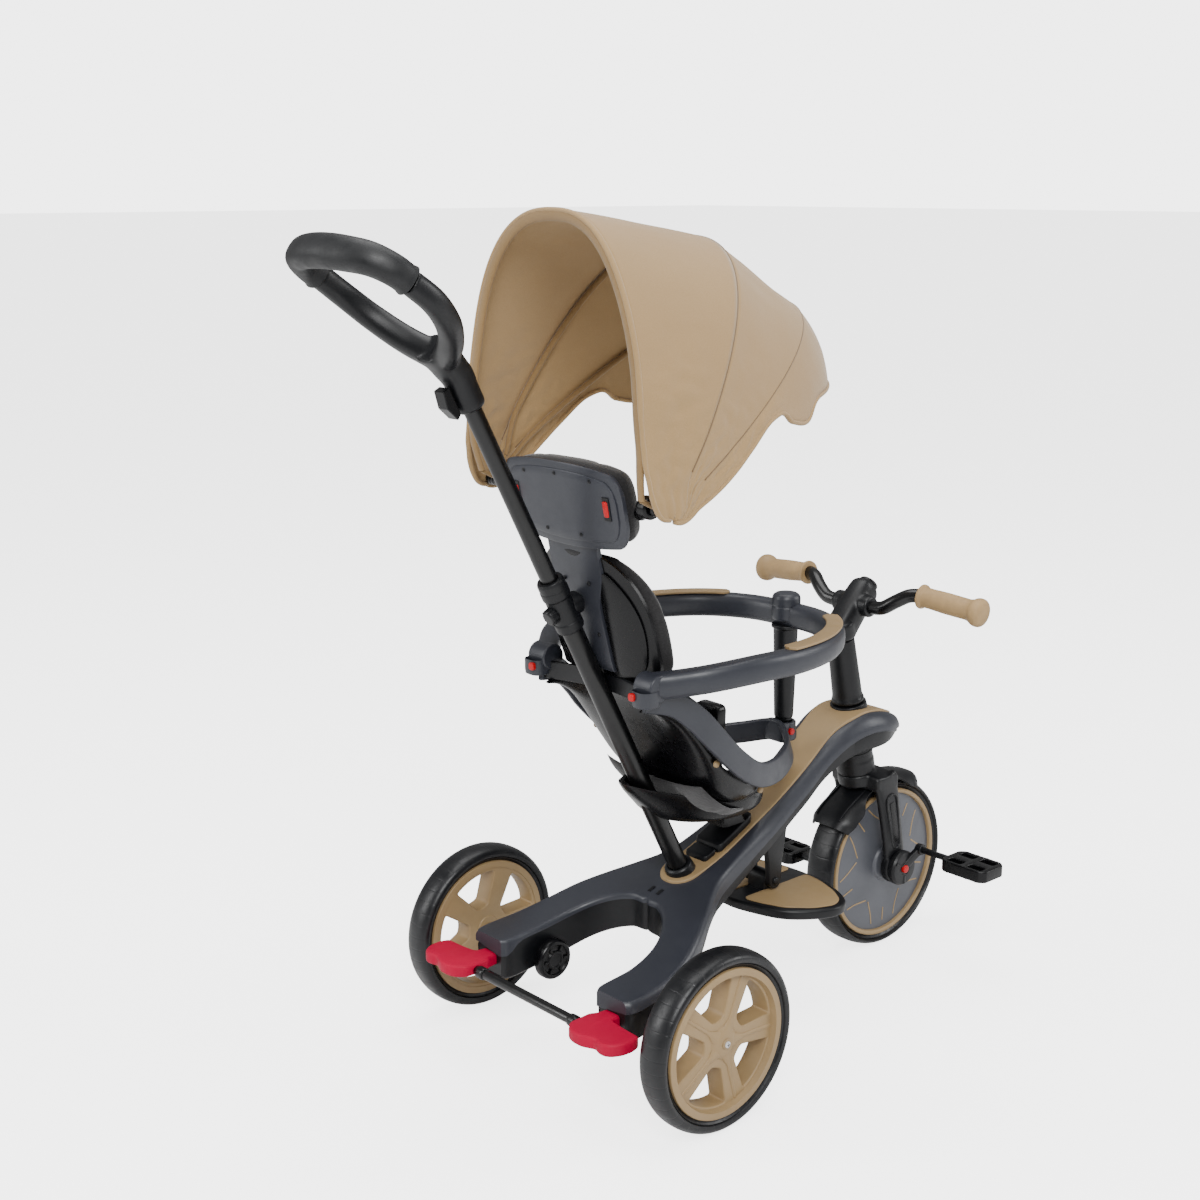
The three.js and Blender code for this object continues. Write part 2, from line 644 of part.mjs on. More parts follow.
// ---------------------------------------------------------------- seat

const seatFrontX = 256;

// The rim runs from the rear socket, down the side and round the front; s goes from 0 to 1.
const rimCurve = new THREE.CatmullRomCurve3([
  v(4, 96, 494), v(40, 108, 484), v(70, 116, 460), v(95, 119, 434), v(138, 117, 394), v(186, 108, 364), v(256, 80, 352),
  v(312, 44, 357), v(338, 0, 366), v(312, -44, 357), v(256, -80, 352), v(186, -108, 364), v(138, -117, 394),
  v(95, -119, 434), v(70, -116, 460), v(40, -108, 484), v(4, -96, 494),
], false, "centripetal");

function makeSeatRim() {
  const path = rimCurve.getSpacedPoints(24);
  const section = chamferedBox(7, 32, 2.5);
  const band = sweep(section, path, { up: v(-0.35, 0, 1) });
  const seat = block(v(331, -19, 352), v(352, 19, 380));
  const hole = rod(12 + gap, v(349, 0, 366), v(349, 0, 400), 24);
  const socket = join(rod(17, v(349, 0, 352), v(349, 0, 377), 28), seat);
  const rim = cut(join(band, socket), hole);
  const rearSocket = block(v(-14, 84, 488), v(17, 113, 508));
  const whole = join(rim, rearSocket, mirrored(rearSocket));
  const buttonRoom = block(v(-16, 85, 494), v(-9, 97, 506));
  const swingRoom = rod(19, v(12, 78, 509), v(12, 118, 509), 16);
  const postButtonRoom = rod(5.2, v(344, -14, 366), v(344, -30, 366), 12);
  const rooms = [guardRoom(), swingRoom, mirrored(swingRoom), buttonRoom, mirrored(buttonRoom), postButtonRoom];
  add("seat_rim", cut(whole, ...rooms), paint.slate);
}

// Centre line of the bucket seen from the side, from its front lip to the top of the back.
const bucketSpine = [
  v(seatFrontX, 0, 320), v(205, 0, 310), v(158, 0, 316), v(124, 0, 340), v(102, 0, 378), v(76, 0, 426), v(54, 0, 466), v(32, 0, 498),
];

function bucketGrid() {
  const spine = smoothPath(bucketSpine, 12);
  const rimStart = 0.36;
  return spine.map((low, i) => {
    const t = i / 12;
    const rim = rimCurve.getPointAt(rimStart * (1 - mixRange(t, -0.1, 1.0)));
    const high = v(rim.x, Math.max(rim.y - 13, 40), rim.z - 18);
    return steps(-1, 1, 10).map((u) => {
      const lateral = Math.sin((u * Math.PI) / 2);
      const climb = Math.abs(u) ** 2.6;
      return v(low.x + (high.x - low.x) * climb, high.y * lateral, low.z + (high.z - low.z) * climb);
    });
  });
}

function makeSeatPan() {
  add("seat_pan", sheet(bucketGrid(), 4), paint.gloss);
  const cushion = bucketGrid().slice(1, 7).map((row) => row.slice(2, 9).map((p) => v(p.x, p.y, p.z)));
  const strapSlot = block(v(204, -17, 280), v(232, 17, 350));
  add("seat_cushion", cut(sheetAbove(cushion, 3, 14), strapSlot), paint.padding);
}

// A pad that lies over a grid: it starts `low` and ends `high` above the surface.
function sheetAbove(grid, low, high) {
  const rows = grid.length;
  const columns = grid[0].length;
  const lifted = grid.map((row, i) => row.map((p, j) => {
    const alongRow = grid[i][Math.min(j + 1, columns - 1)].clone().sub(grid[i][Math.max(j - 1, 0)]);
    const alongColumn = grid[Math.min(i + 1, rows - 1)][j].clone().sub(grid[Math.max(i - 1, 0)][j]);
    const normal = alongColumn.cross(alongRow).normalize();
    return normal.z < 0 ? p.clone().addScaledVector(normal, -high) : p.clone().addScaledVector(normal, high);
  }));
  return sheet(lifted, lifted[0][0].z > grid[0][0].z ? high - low : low - high);
}

function makeSeatBase() {
  const low = 292;
  const rings = [[0, 0.5], [1.5, 0.72], [6, 0.86], [16, 0.95], [27, 0.985], [36, 1]].map(([lift, size]) => {
    return steps(0, 2 * Math.PI, 20).slice(0, -1).map((a) => {
      const x = 190 + 96 * size * Math.cos(a) - 0.35 * lift * Math.abs(Math.cos(a));
      return v(x, 82 * size * Math.sin(a), low + lift * (1 + 0.004 * (190 - x)));
    });
  });
  const grid = bucketGrid();
  const frontRow = grid[0].map((p) => v(p.x + 60, p.y, p.z - 4));
  const room = loft([frontRow, ...grid].map((row) => {
    const low = row.map((p) => v(p.x, p.y, p.z - 5));
    return [...low, v(row[10].x, row[10].y + 40, 560), v(row[0].x, row[0].y - 40, 560)];
  }));
  const tubeNotch = rod(17, pushTubeAt(0), pushTubeAt(200));
  const top = low + 4;
  const slider = loft(steps(172, 262, 3).map((x) => {
    const foot = frameTop(x) + 5.4;
    return [v(x, -29, foot), v(x, 29, foot), v(x, 29, top - 8), v(x, 24, top), v(x, -24, top), v(x, -29, top - 8)];
  }));
  add("seat_base", cut(join(cut(loft(rings), room), slider), tubeNotch), paint.gloss);
}

// ---------------------------------------------------------------- back rest

const backTop = 664;
const backLow = 528;
const backBend = 0.0024;

function backX(z) {
  return 10 - 0.28 * (z - backLow);
}

function backSpot(y, z, depth) {
  return v(backX(z) + backBend * y * y + depth, y, z);
}

function backHalfWidth(z) {
  const t = (z - backLow) / (backTop - backLow);
  return 92 * Math.sqrt(Math.max(0.02, 1 - Math.max(0, t - 0.15) ** 3.2 / 0.68));
}

function makeBackRest() {
  const heights = [...steps(backLow, 620, 4), 638, 650, 658, backTop];
  const shell = loft(heights.map((z) => {
    const w = backHalfWidth(z);
    const ys = steps(-w, w, 8);
    return [...ys.map((y) => backSpot(y, z, 0)), ...ys.reverse().map((y) => backSpot(y, z, 5))];
  }));
  const slope = headrestUp.x / headrestUp.z;
  const neckX = (z) => headrestFoot.x + 5.6 + slope * (z - headrestFoot.z);
  const neckRings = steps(600, 742, 4).map((z) => {
    const w = 44;
    const ys = steps(-w, w, 4);
    const x = (y) => neckX(z) + headrestBend * y * y;
    return [...ys.map((y) => v(x(y), y, z)), ...ys.reverse().map((y) => v(x(y) + 6, y, z))];
  });
  add("seat_back_shell", join(shell, loft(neckRings)), paint.slate);

  const padHeights = [...steps(backLow + 4, 616, 4), 634, 648, 658];
  const pad = loft(padHeights.map((z) => {
    const w = backHalfWidth(z) + 4;
    const ys = steps(-w, w, 8);
    return [...ys.map((y) => backSpot(y, z, 12)), ...ys.reverse().map((y) => backSpot(y, z, 32 - 12 * (y / w) ** 6))];
  }));
  add("back_cushion", pad, paint.padding);
}

function makeBackBracket() {
  const clampLow = pushTubeAt(400);
  const clamp = turned([[pushTubeRadius + 0.6, 0], [20, 0], [20, 60], [pushTubeRadius + 0.6, 60], [pushTubeRadius + 0.6, 0]],
    clampLow, pushTubeDirection, 14);
  const middle = pushTubeAt(430);
  const arm = rod(19, v(middle.x + 5, 0, middle.z), v(backX(middle.z + 14) - 6, 0, middle.z + 4), 12);
  const tubeRoom = rod(pushTubeRadius + 0.6, pushTubeAt(380), pushTubeAt(480), 14);
  add("back_bracket", cut(join(clamp, arm), tubeRoom), paint.black);
}

function makeBuckle() {
  const strap = sweep(chamferedBox(28, 2.4, 0.6), smoothPath([v(222, 0, 318), v(216, 0, 350), v(210, 0, 392)], 6), { up: v(1, 0, 0) });
  const buckle = loft([[388, 30, 12], [392, 40, 18], [424, 42, 20], [429, 34, 14]].map(([z, w, d]) => {
    return chamferedBox(d, w, 4).map(([a, b]) => v(209 + a, b, z));
  }));
  add("harness_buckle", join(strap, buckle), paint.gloss);
}

// ---------------------------------------------------------------- guard ring

const guardCurve = new THREE.CatmullRomCurve3([
  v(12, 96, 509), v(32, 114, 512), v(62, 140, 518), v(118, 162, guardHeight), v(190, 166, guardHeight),
  v(255, 152, guardHeight), v(312, 116, guardHeight), v(345, 62, guardHeight), v(352, 0, guardHeight),
  v(345, -62, guardHeight), v(312, -116, guardHeight), v(255, -152, guardHeight), v(190, -166, guardHeight),
  v(118, -162, guardHeight), v(62, -140, 518), v(32, -114, 512), v(12, -96, 509),
], false, "centripetal");

const guardPath = guardCurve.getSpacedPoints(26);

function guardRoom() {
  return sweep(oval(28 + 2 * gap, 33 + 2 * gap, 8, 2.8), guardPath);
}

function makeGuardRing() {
  const ring = sweep(oval(28, 33, 8, 2.8), guardPath);
  const knob = turned([[0, 0], [18, 0], [19, 3], [19, 30], [17, 34], [0, 36]], v(349, 0, 518), v(0, 0, 1), 14);
  add("guard_ring", join(ring, knob), paint.slate);

  const onPad = (p) => p.y < -88 && p.x > 164;
  const padPath = guardCurve.getSpacedPoints(60).filter(onPad).map((p) => p.add(v(0, 0, 16.5 + 0.4 + 1.3)));
  const pad = sweep(chamferedBox(21, 2.6, 0.8), padPath);
  add("guard_pad_right", pad, paint.tan);
  add("guard_pad_left", mirrored(pad), paint.tan);

  const post = turned([[0, 2], [9, 2], [11.6, 6], [11.6, 8.5], [13, 11], [14.5, 60], [17, 132], [0, 132]], v(349, 0, 373), v(0, 0, 1), 16);
  add("guard_post", cut(post, guardRoom()), paint.slate);
}

// ---------------------------------------------------------------- head rest

function headrestSpot(y, up, depth) {
  return headrestFoot.clone()
    .addScaledVector(headrestUp, up)
    .addScaledVector(headrestForward, depth + headrestBend * y * y)
    .add(v(0, y, 0));
}

const headrestHeight = 106;
const headrestHalfWidth = 103;

function headrestSpan(y, margin) {
  const t = Math.min(1, Math.abs(y) / (headrestHalfWidth + margin));
  const round = Math.sqrt(Math.max(0, 1 - Math.max(0, (t - 0.84) / 0.16) ** 2));
  const low = 2 + 8 * t ** 2 + 26 * (1 - round) - margin;
  const high = headrestHeight - 12 * t ** 2.4 - 24 * (1 - round) + margin;
  return [low, high];
}

function headrestLoft(margin, back, front, corner) {
  const half = headrestHalfWidth + margin;
  const stations = [-1, -0.985, -0.95, -0.9, -0.84, -0.7, -0.5, -0.25, 0, 0.25, 0.5, 0.7, 0.84, 0.9, 0.95, 0.985, 1];
  return loft(stations.map((u) => {
    const y = u * half;
    const [low, high] = headrestSpan(y, margin);
    const depth = front(u);
    return [
      headrestSpot(y, low, back), headrestSpot(y, high, back),
      headrestSpot(y, high, depth - corner), headrestSpot(y, high - corner, depth),
      headrestSpot(y, low + corner, depth), headrestSpot(y, low, depth - corner),
    ];
  }));
}

function makeHeadrest() {
  const shell = headrestLoft(0, 0, () => 5, 1);
  const cushion = headrestLoft(-2, 13.4, (u) => 50 - 14 * u ** 4, 9);
  const buttonRoom = block(v(-5, -4.2, -11), v(8, 4.2, 11));
  const place = (geometry, sign) => {
    const spot = headrestSpot(sign * 79, 57, 0);
    return geometry.clone().rotateY(-0.21).translate(spot.x, spot.y, spot.z);
  };
  add("headrest_shell", cut(shell, place(buttonRoom, 1), place(buttonRoom, -1)), paint.slate);
  add("headrest_cushion", cushion, paint.padding);
  const button = block(v(-1.5, -3.8, -10.5), v(4.5, 3.8, 10.5));
  add("headrest_button_left", place(button, 1), paint.red);
  add("headrest_button_right", place(button, -1), paint.red);
}

// ---------------------------------------------------------------- canopy

const canopyPower = 2.5;

// Each arch of the cloth: reach of its top from the hinge, half width at the hinge, and
// its angle above the forward direction at each fraction of the reach.
const canopyArches = {
  rear: { reach: 327, halfWidth: 156, angle: profileOf([[0.05, 215], [0.1, 152], [0.16, 124], [0.32, 108], [0.6, 99.5], [1, 95.8]]) },
  mid: { reach: 341, halfWidth: 171, angle: () => 59 },
  front: { reach: 386, halfWidth: 168, angle: () => 34 },
  hem: {
    reach: 394,
    halfWidth: 172,
    angle: profileOf([
      [0.05, -80], [0.09, -38], [0.13, -6], [0.2, 11], [0.33, 21.5], [0.46, 26], [0.52, 25], [0.57, 18.5],
      [0.65, 15.5], [0.74, 18], [0.85, 16.5], [1, 15],
    ]),
  },
};

// A point of an arch; t runs from 0 at the left hinge to PI at the right hinge.
function archSpot(arch, t, inset = 0) {
  const fraction = Math.sin(t) ** (2 / canopyPower);
  const angle = THREE.MathUtils.degToRad(arch.angle(fraction));
  const reach = (arch.reach - inset) * fraction;
  const side = (arch.halfWidth - inset) * Math.sign(Math.cos(t)) * Math.abs(Math.cos(t)) ** (2 / canopyPower);
  return v(canopyHinge.x + reach * Math.cos(angle), side, canopyHinge.z + reach * Math.sin(angle));
}

function canopyPanel(from, to, rows, [low, high], bulge) {
  const margin = 0.03;
  const columns = steps(0, 1, 18).map((u) => margin + (Math.PI - 2 * margin) * (u - 0.11 * Math.sin(2 * Math.PI * u)));
  return sheet(steps(low, high, rows).map((mix) => columns.map((t) => {
    const spot = archSpot(from, t).lerp(archSpot(to, t), mix);
    const centre = v(canopyHinge.x, spot.y * 0.3, canopyHinge.z);
    const outward = spot.clone().sub(centre).normalize();
    return spot.addScaledVector(outward, bulge * Math.sin(t) ** 2 * 4 * mix * (1 - mix));
  })), clothThickness);
}

function canopyRib(arch, layer) {
  const start = 0.1;
  const path = steps(start, Math.PI - start, 10).map((t) => {
    const spot = archSpot(arch, t, 8.5);
    const height = spot.clone().sub(v(canopyHinge.x, spot.y, canopyHinge.z)).length();
    const side = layer + (Math.abs(spot.y) - layer) * mixRange(height, 30, 150);
    return height < 150 ? v(spot.x, Math.sign(spot.y) * side, spot.z) : spot;
  });
  const middle = path[5].clone().sub(canopyHinge).normalize();
  const bow = sweep(oval(6, 6, 5), path, { up: v(-middle.z, 0, middle.x) });
  const ends = [1, -1].map((sign) => {
    const at = (y) => v(canopyHinge.x, sign * y, canopyHinge.z);
    const tip = sign > 0 ? path[0] : path[path.length - 1];
    return [rod(9, at(layer - 3), at(layer + 3), 8), rod(3, at(layer), tip, 5)];
  }).flat();
  const hole = rod(4 + gap, v(canopyHinge.x, -220, canopyHinge.z), v(canopyHinge.x, 220, canopyHinge.z), 8);
  return cut(join(bow, ...ends), hole);
}

function makeCanopy() {
  for (const [name, layer] of Object.entries(canopyRibLayers)) {
    add(`canopy_rib_${name}`, canopyRib(canopyArches[name], layer), paint.gloss);
  }
  const { rear, mid, front, hem } = canopyArches;
  add("canopy_panel_rear", canopyPanel(rear, mid, 4, [0, 0.996], 1), paint.cloth);
  add("canopy_panel_front", canopyPanel(mid, front, 2, [0.004, 0.985], -2), paint.cloth);
  add("canopy_visor", canopyPanel(front, hem, 3, [0.03, 1], 11), paint.cloth);

  const path = smoothPath([v(-14, 96, 722), v(-16, 106, 718), v(-20, 114, 722), v(-23, 122, 729)], 6);
  const arm = sweep(oval(13, 13, 10), path, { up: v(1, 0, 0) });
  const hub = rod(13, v(-23, 118, 730), v(-23, 134, 730), 16);
  const spindle = rod(4, v(-23, 130, 730), v(-23, 158, 730), 8);
  const cushionRoom = headrestLoft(-1, 12, (u) => 51.4 - 14 * u ** 4, 9);
  addPair("canopy_arm", cut(join(arm, hub, spindle), cushionRoom, headrestLoft(0.6, -2, () => 6, 1)), paint.gloss);
}

// ---------------------------------------------------------------- push handle

const handleNeck = v(-205, 0, 895);
const handleAlong = v(-150, 0, 120).normalize();

function handlePoint(along, y, lift = 0) {
  const up = v(-handleAlong.z, 0, handleAlong.x).multiplyScalar(-1);
  return handleNeck.clone().addScaledVector(handleAlong, along).add(v(0, y, 0)).addScaledVector(up, lift);
}

function makePushTubes() {
  const lowerLength = 470;
  const bore = slidingTubeRadius + gap;
  const lower = [[bore, -30], [pushTubeRadius, -30], [pushTubeRadius, lowerLength], [bore, lowerLength], [bore, -30]];
  add("push_tube_lower", turned(lower, pushTubeFoot, pushTubeDirection, 16), paint.gloss);
  const upperStart = 270;
  const upperEnd = 751;
  add("push_tube_upper", rod(slidingTubeRadius, pushTubeAt(upperStart), pushTubeAt(upperEnd), 16), paint.gloss);
}

function makeHandle() {
  const neckPath = smoothPath([pushTubeAt(732), pushTubeAt(750), v(-201, 0, 889), handlePoint(8, 0), handlePoint(26, 0)], 7);
  const neck = sweep(oval(34, 30, 8, 2.6), neckPath, { up: v(0, 1, 0), size: (t) => [1 - 0.1 * t, 1 + 0.5 * t] });
  const branch = (sign) => smoothPath([
    handlePoint(10, sign * 8), handlePoint(34, sign * 40, 2), handlePoint(66, sign * 68, 6), handlePoint(104, sign * 82, 8),
    handlePoint(140, sign * 82, 6),
  ], 8);
  const arms = [1, -1].map((sign) => sweep(oval(20, 26, 8, 2.6), branch(sign), { up: v(0.62, 0, 0.78) }));
  const collar = turned([[0, 0], [16, 0], [17.5, 4], [17.5, 48], [0, 48]], pushTubeAt(708), pushTubeDirection, 16);
  const tubeRoom = rod(slidingTubeRadius + gap, pushTubeAt(700), pushTubeAt(751.6), 16);
  add("handle_yoke", cut(join(neck, collar, ...arms), tubeRoom), paint.black);

  const reach = smoothPath([
    handlePoint(141.2, 82, 6), handlePoint(160, 79, 5), handlePoint(180, 64, 3), handlePoint(192, 36, 0), handlePoint(195, 0, 0),
    handlePoint(192, -36, 0), handlePoint(180, -64, 3), handlePoint(160, -79, 5), handlePoint(141.2, -82, 6),
  ], 16);
  const swell = (t) => [1 + 0.22 * Math.sin(Math.PI * t), 1 + 0.18 * Math.sin(Math.PI * t)];
  add("handle_grip", sweep(oval(25, 30, 8, 2.4), reach, { up: v(0.62, 0, 0.78), size: swell }), paint.rubber);

  const side = v(pushTubeDirection.z, 0, -pushTubeDirection.x);
  const pivot = pushTubeAt(748).addScaledVector(side, -26);
  const lever = loft([-9, 9].map((y) => [
    pivot.clone().addScaledVector(side, -4).add(v(0, y, 0)),
    pivot.clone().addScaledVector(side, 5.5).add(v(0, y, 0)),
    pivot.clone().addScaledVector(side, 5.5).addScaledVector(pushTubeDirection, -34).add(v(0, y, 0)),
    pivot.clone().addScaledVector(side, -1).addScaledVector(pushTubeDirection, -38).add(v(0, y, 0)),
    pivot.clone().addScaledVector(side, -8).addScaledVector(pushTubeDirection, -20).add(v(0, y, 0)),
  ]));
  add("handle_clip", lever, paint.black);
}

// ---------------------------------------------------------------- release buttons

function makeReleaseButtons() {
  const socketButton = block(v(-17, 86, 495), v(-12, 96, 505));
  add("ring_button_left", socketButton, paint.red);
  add("ring_button_right", mirrored(socketButton), paint.red);
  const postButton = rod(4.5, v(344, -17, 366), v(344, -21.5, 366), 12);
  add("post_button", postButton, paint.red);
}

makeFrame();
makeHeadTube();
makeRearAxle();
makeRearWheels();
makeFrontWheel();
makeFork();
makeFender();
makeSteering();
makeCrank();
makePedals();
makeBrake();
makeFootrest();
makeSeatRim();
makeSeatPan();
makeSeatBase();
makeBackRest();
makeBackBracket();
makeBuckle();
makeGuardRing();
makeHeadrest();
makeCanopy();
makePushTubes();
makeHandle();
makeReleaseButtons();

export default tricycle;
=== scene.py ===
# A children's tricycle with a push handle, folding canopy and guard ring, dressed for rendering.
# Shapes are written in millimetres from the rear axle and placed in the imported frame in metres.
import math

import bmesh
import bpy
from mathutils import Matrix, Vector, noise


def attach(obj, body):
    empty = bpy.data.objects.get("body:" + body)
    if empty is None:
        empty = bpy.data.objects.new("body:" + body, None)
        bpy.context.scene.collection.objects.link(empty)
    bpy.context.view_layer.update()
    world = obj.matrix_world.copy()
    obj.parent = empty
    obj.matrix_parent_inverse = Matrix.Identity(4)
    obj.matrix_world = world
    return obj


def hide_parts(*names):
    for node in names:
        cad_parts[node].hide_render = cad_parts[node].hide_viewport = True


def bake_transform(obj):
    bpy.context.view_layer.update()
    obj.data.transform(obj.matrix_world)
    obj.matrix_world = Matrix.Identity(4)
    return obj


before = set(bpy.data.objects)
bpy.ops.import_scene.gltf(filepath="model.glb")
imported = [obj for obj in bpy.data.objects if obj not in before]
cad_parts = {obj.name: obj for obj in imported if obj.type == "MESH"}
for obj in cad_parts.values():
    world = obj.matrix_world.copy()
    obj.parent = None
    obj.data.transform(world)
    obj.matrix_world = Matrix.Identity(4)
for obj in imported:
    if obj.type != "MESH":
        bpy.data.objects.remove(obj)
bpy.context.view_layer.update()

# ---------------------------------------------------------------- driving dimensions

ORIGIN_X = 151.6
REAR_WHEEL_RADIUS = 111
REAR_RIM_RADIUS = 92
HALF_TRACK = 223
FRONT_WHEEL_RADIUS = 125
FRONT_RIM_RADIUS = 110
WHEELBASE = 552.6
PUSH_TUBE_RADIUS = 13
SLIDING_TUBE_RADIUS = 10.5
PEDAL_Y = 154


def V(x, y, z):
    return Vector((x, y, z))


REAR_AXLE = V(0, 0, REAR_WHEEL_RADIUS)
FRONT_AXLE = V(WHEELBASE, 0, FRONT_WHEEL_RADIUS)
STEER_LOW = V(508, 0, 256)
STEER_UP = V(-0.2078, 0, 0.9782).normalized()
PUSH_FOOT = V(156, 0, 215)
PUSH_UP = V(-330, 0, 630).normalized()
CRANK = V(25.4, 0, 25)
CANOPY_HINGE = V(-23, 0, 730)
HEAD_FOOT = V(-34, 0, 668)
HEAD_UP = V(-0.2095, 0, 0.9778).normalized()
HEAD_FORWARD = V(0.9778, 0, 0.2095).normalized()
HEAD_BEND = 0.0006
GUARD_HEIGHT = 524
GUARD_POST_X = 349
GUARD_HINGE = V(12, 0, 509)
FOOTREST_HINGE = V(312, 0, 163)
BRAKE_BAR = V(-103, 0, 118)
ALONG = V(1, 0, 0)
ACROSS = V(0, 1, 0)
UP = V(0, 0, 1)
SIDES = (("left", 1), ("right", -1))


def place(p):
    """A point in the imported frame, in metres."""
    return Vector(((p.x - ORIGIN_X) / 1000, p.y / 1000, p.z / 1000))


# ---------------------------------------------------------------- shape tools

def steps(low, high, count):
    return [low + (high - low) * i / count for i in range(count + 1)]


def around(count):
    """Evenly spaced angles over one full turn."""
    return [2 * math.pi * k / count for k in range(count)]


def ease(value, low, high):
    t = min(1, max(0, (value - low) / (high - low)))
    return t * t * (3 - 2 * t)


def centripetal(p0, p1, p2, p3, t):
    d0 = max((p1 - p0).length ** 0.5, 1e-4)
    d1 = max((p2 - p1).length ** 0.5, 1e-4)
    d2 = max((p3 - p2).length ** 0.5, 1e-4)
    m1 = ((p1 - p0) / d0 - (p2 - p0) / (d0 + d1) + (p2 - p1) / d1) * d1
    m2 = ((p2 - p1) / d1 - (p3 - p1) / (d1 + d2) + (p3 - p2) / d2) * d1
    t2 = t * t
    t3 = t2 * t
    return p1 * (2 * t3 - 3 * t2 + 1) + m1 * (t3 - 2 * t2 + t) + p2 * (3 * t2 - 2 * t3) + m2 * (t3 - t2)


def dense(points, closed=False, per_span=16):
    count = len(points)
    spans = count if closed else count - 1
    result = []
    for i in range(spans):
        if closed:
            p0, p1, p2, p3 = (points[(i + k - 1) % count] for k in range(4))
        else:
            p1, p2 = points[i], points[i + 1]
            p0 = points[i - 1] if i > 0 else p1 * 2 - p2
            p3 = points[i + 2] if i + 2 < count else p2 * 2 - p1
        result += [centripetal(p0, p1, p2, p3, k / per_span) for k in range(per_span)]
    if not closed:
        result.append(points[-1].copy())
    return result


def spaced(samples, count, closed=False):
    """Even points along a row of samples: count + 1 of them, or count on a closed row."""
    line = samples + [samples[0]] if closed else samples
    lengths = [0]
    for a, b in zip(line, line[1:]):
        lengths.append(lengths[-1] + (b - a).length)
    result = []
    k = 0
    for i in range(count if closed else count + 1):
        goal = lengths[-1] * i / count
        while k < len(line) - 2 and lengths[k + 1] < goal:
            k += 1
        span = max(lengths[k + 1] - lengths[k], 1e-9)
        result.append(line[k].lerp(line[k + 1], (goal - lengths[k]) / span))
    return result


def smooth_path(points, count, closed=False):
    return spaced(dense(points, closed), count, closed)


def both_sides(points):
    """A row of points carried on into its mirror image across the middle plane."""
    return points + [V(p.x, -p.y, p.z) for p in reversed(points[:-1])]


def profile_of(points):
    """A smooth curve through (a, b) pairs, as a function of a."""
    samples = dense([V(a, b, 0) for a, b in points], per_span=12)

    def at(a):
        if a <= samples[0].x:
            return samples[0].y
        for p, q in zip(samples, samples[1:]):
            if q.x >= a:
                return p.y + (q.y - p.y) * (a - p.x) / max(q.x - p.x, 1e-9)
        return samples[-1].y

    return at


def softened(points, radius, closed=False, sides=4):
    """Rounds the corners of a flat outline of (a, b) pairs."""
    spots = [Vector(p) for p in points]
    count = len(spots)
    result = []
    for i, corner in enumerate(spots):
        if not closed and i in (0, count - 1):
            result.append(tuple(corner))
            continue
        before = spots[i - 1] - corner
        after = spots[(i + 1) % count] - corner
        reach = min(radius, before.length * 0.45, after.length * 0.45)
        if reach < 1e-3:
            result.append(tuple(corner))
            continue
        a = corner + before.normalized() * reach
        b = corner + after.normalized() * reach
        for t in steps(0, 1, sides):
            result.append(tuple(a * (1 - t) ** 2 + corner * 2 * t * (1 - t) + b * t * t))
    return result


class Shape:
    """Points in millimetres and faces, each face with the index of its material."""

    def __init__(self, points=(), faces=(), slots=None):
        self.points = list(points)
        self.faces = list(faces)
        self.slots = list(slots) if slots else [0] * len(self.faces)

    def painted(self, index):
        return Shape(self.points, self.faces, [index] * len(self.faces))

    def mirrored(self):
        points = [V(p.x, -p.y, p.z) for p in self.points]
        return Shape(points, [tuple(reversed(f)) for f in self.faces], self.slots)


def joined(*shapes):
    whole = Shape()
    for shape in shapes:
        start = len(whole.points)
        whole.points += shape.points
        whole.faces += [tuple(start + k for k in f) for f in shape.faces]
        whole.slots += shape.slots
    return whole


def loft(rings, closed=False):
    """Skins a row of rings; its two ends are capped unless the row closes on itself."""
    size = len(rings[0])
    faces = []
    for i in range(len(rings) if closed else len(rings) - 1):
        a = i * size
        b = (i + 1) % len(rings) * size
        for j in range(size):
            k = (j + 1) % size
            faces.append((a + j, a + k, b + k, b + j))
    if not closed:
        faces.append(tuple(reversed(range(size))))
        faces.append(tuple((len(rings) - 1) * size + j for j in range(size)))
    return Shape([p for ring in rings for p in ring], faces)


def grid_cells(rows, columns):
    """The four corner numbers of every cell in a grid of points counted row by row."""
    starts = [i * columns + j for i in range(rows - 1) for j in range(columns - 1)]
    return [(a, a + 1, a + columns, a + columns + 1) for a in starts]


def shell(grid, thickness):
    """A sheet of even thickness over a grid of points, closed round its edges."""
    rows, columns = len(grid), len(grid[0])

    def normal(i, j):
        along = grid[i][min(j + 1, columns - 1)] - grid[i][max(j - 1, 0)]
        down = grid[min(i + 1, rows - 1)][j] - grid[max(i - 1, 0)][j]
        return down.cross(along).normalized()

    outer = [p for row in grid for p in row]
    inner = [grid[i][j] - normal(i, j) * thickness for i in range(rows) for j in range(columns)]
    shift = rows * columns
    faces = []
    for a, b, c, d in grid_cells(rows, columns):
        faces += [(a, c, d, b), (shift + a, shift + b, shift + d, shift + c)]
    edge = list(range(columns - 1))
    edge += [i * columns + columns - 1 for i in range(rows - 1)]
    edge += [(rows - 1) * columns + j for j in range(columns - 1, 0, -1)]
    edge += [i * columns for i in range(rows - 1, 0, -1)]
    faces += [(a, b, shift + b, shift + a) for a, b in zip(edge, edge[1:] + edge[:1])]
    return Shape(outer + inner, faces)


def oval(width, height, sides=24, power=2):
    """A closed outline, an ellipse at power 2 and squarer above it."""
    result = []
    for t in around(sides):
        c, s = math.cos(t), math.sin(t)
        u = math.copysign(abs(c) ** (2 / power) * width / 2, c)
        w = math.copysign(abs(s) ** (2 / power) * height / 2, s)
        result.append((u, w))
    return result


def slab(width, height, corner):
    """A closed outline, a rectangle with rounded corners."""
    a, b = width / 2, height / 2
    return softened([(a, -b), (a, b), (-a, b), (-a, -b)], corner, closed=True)


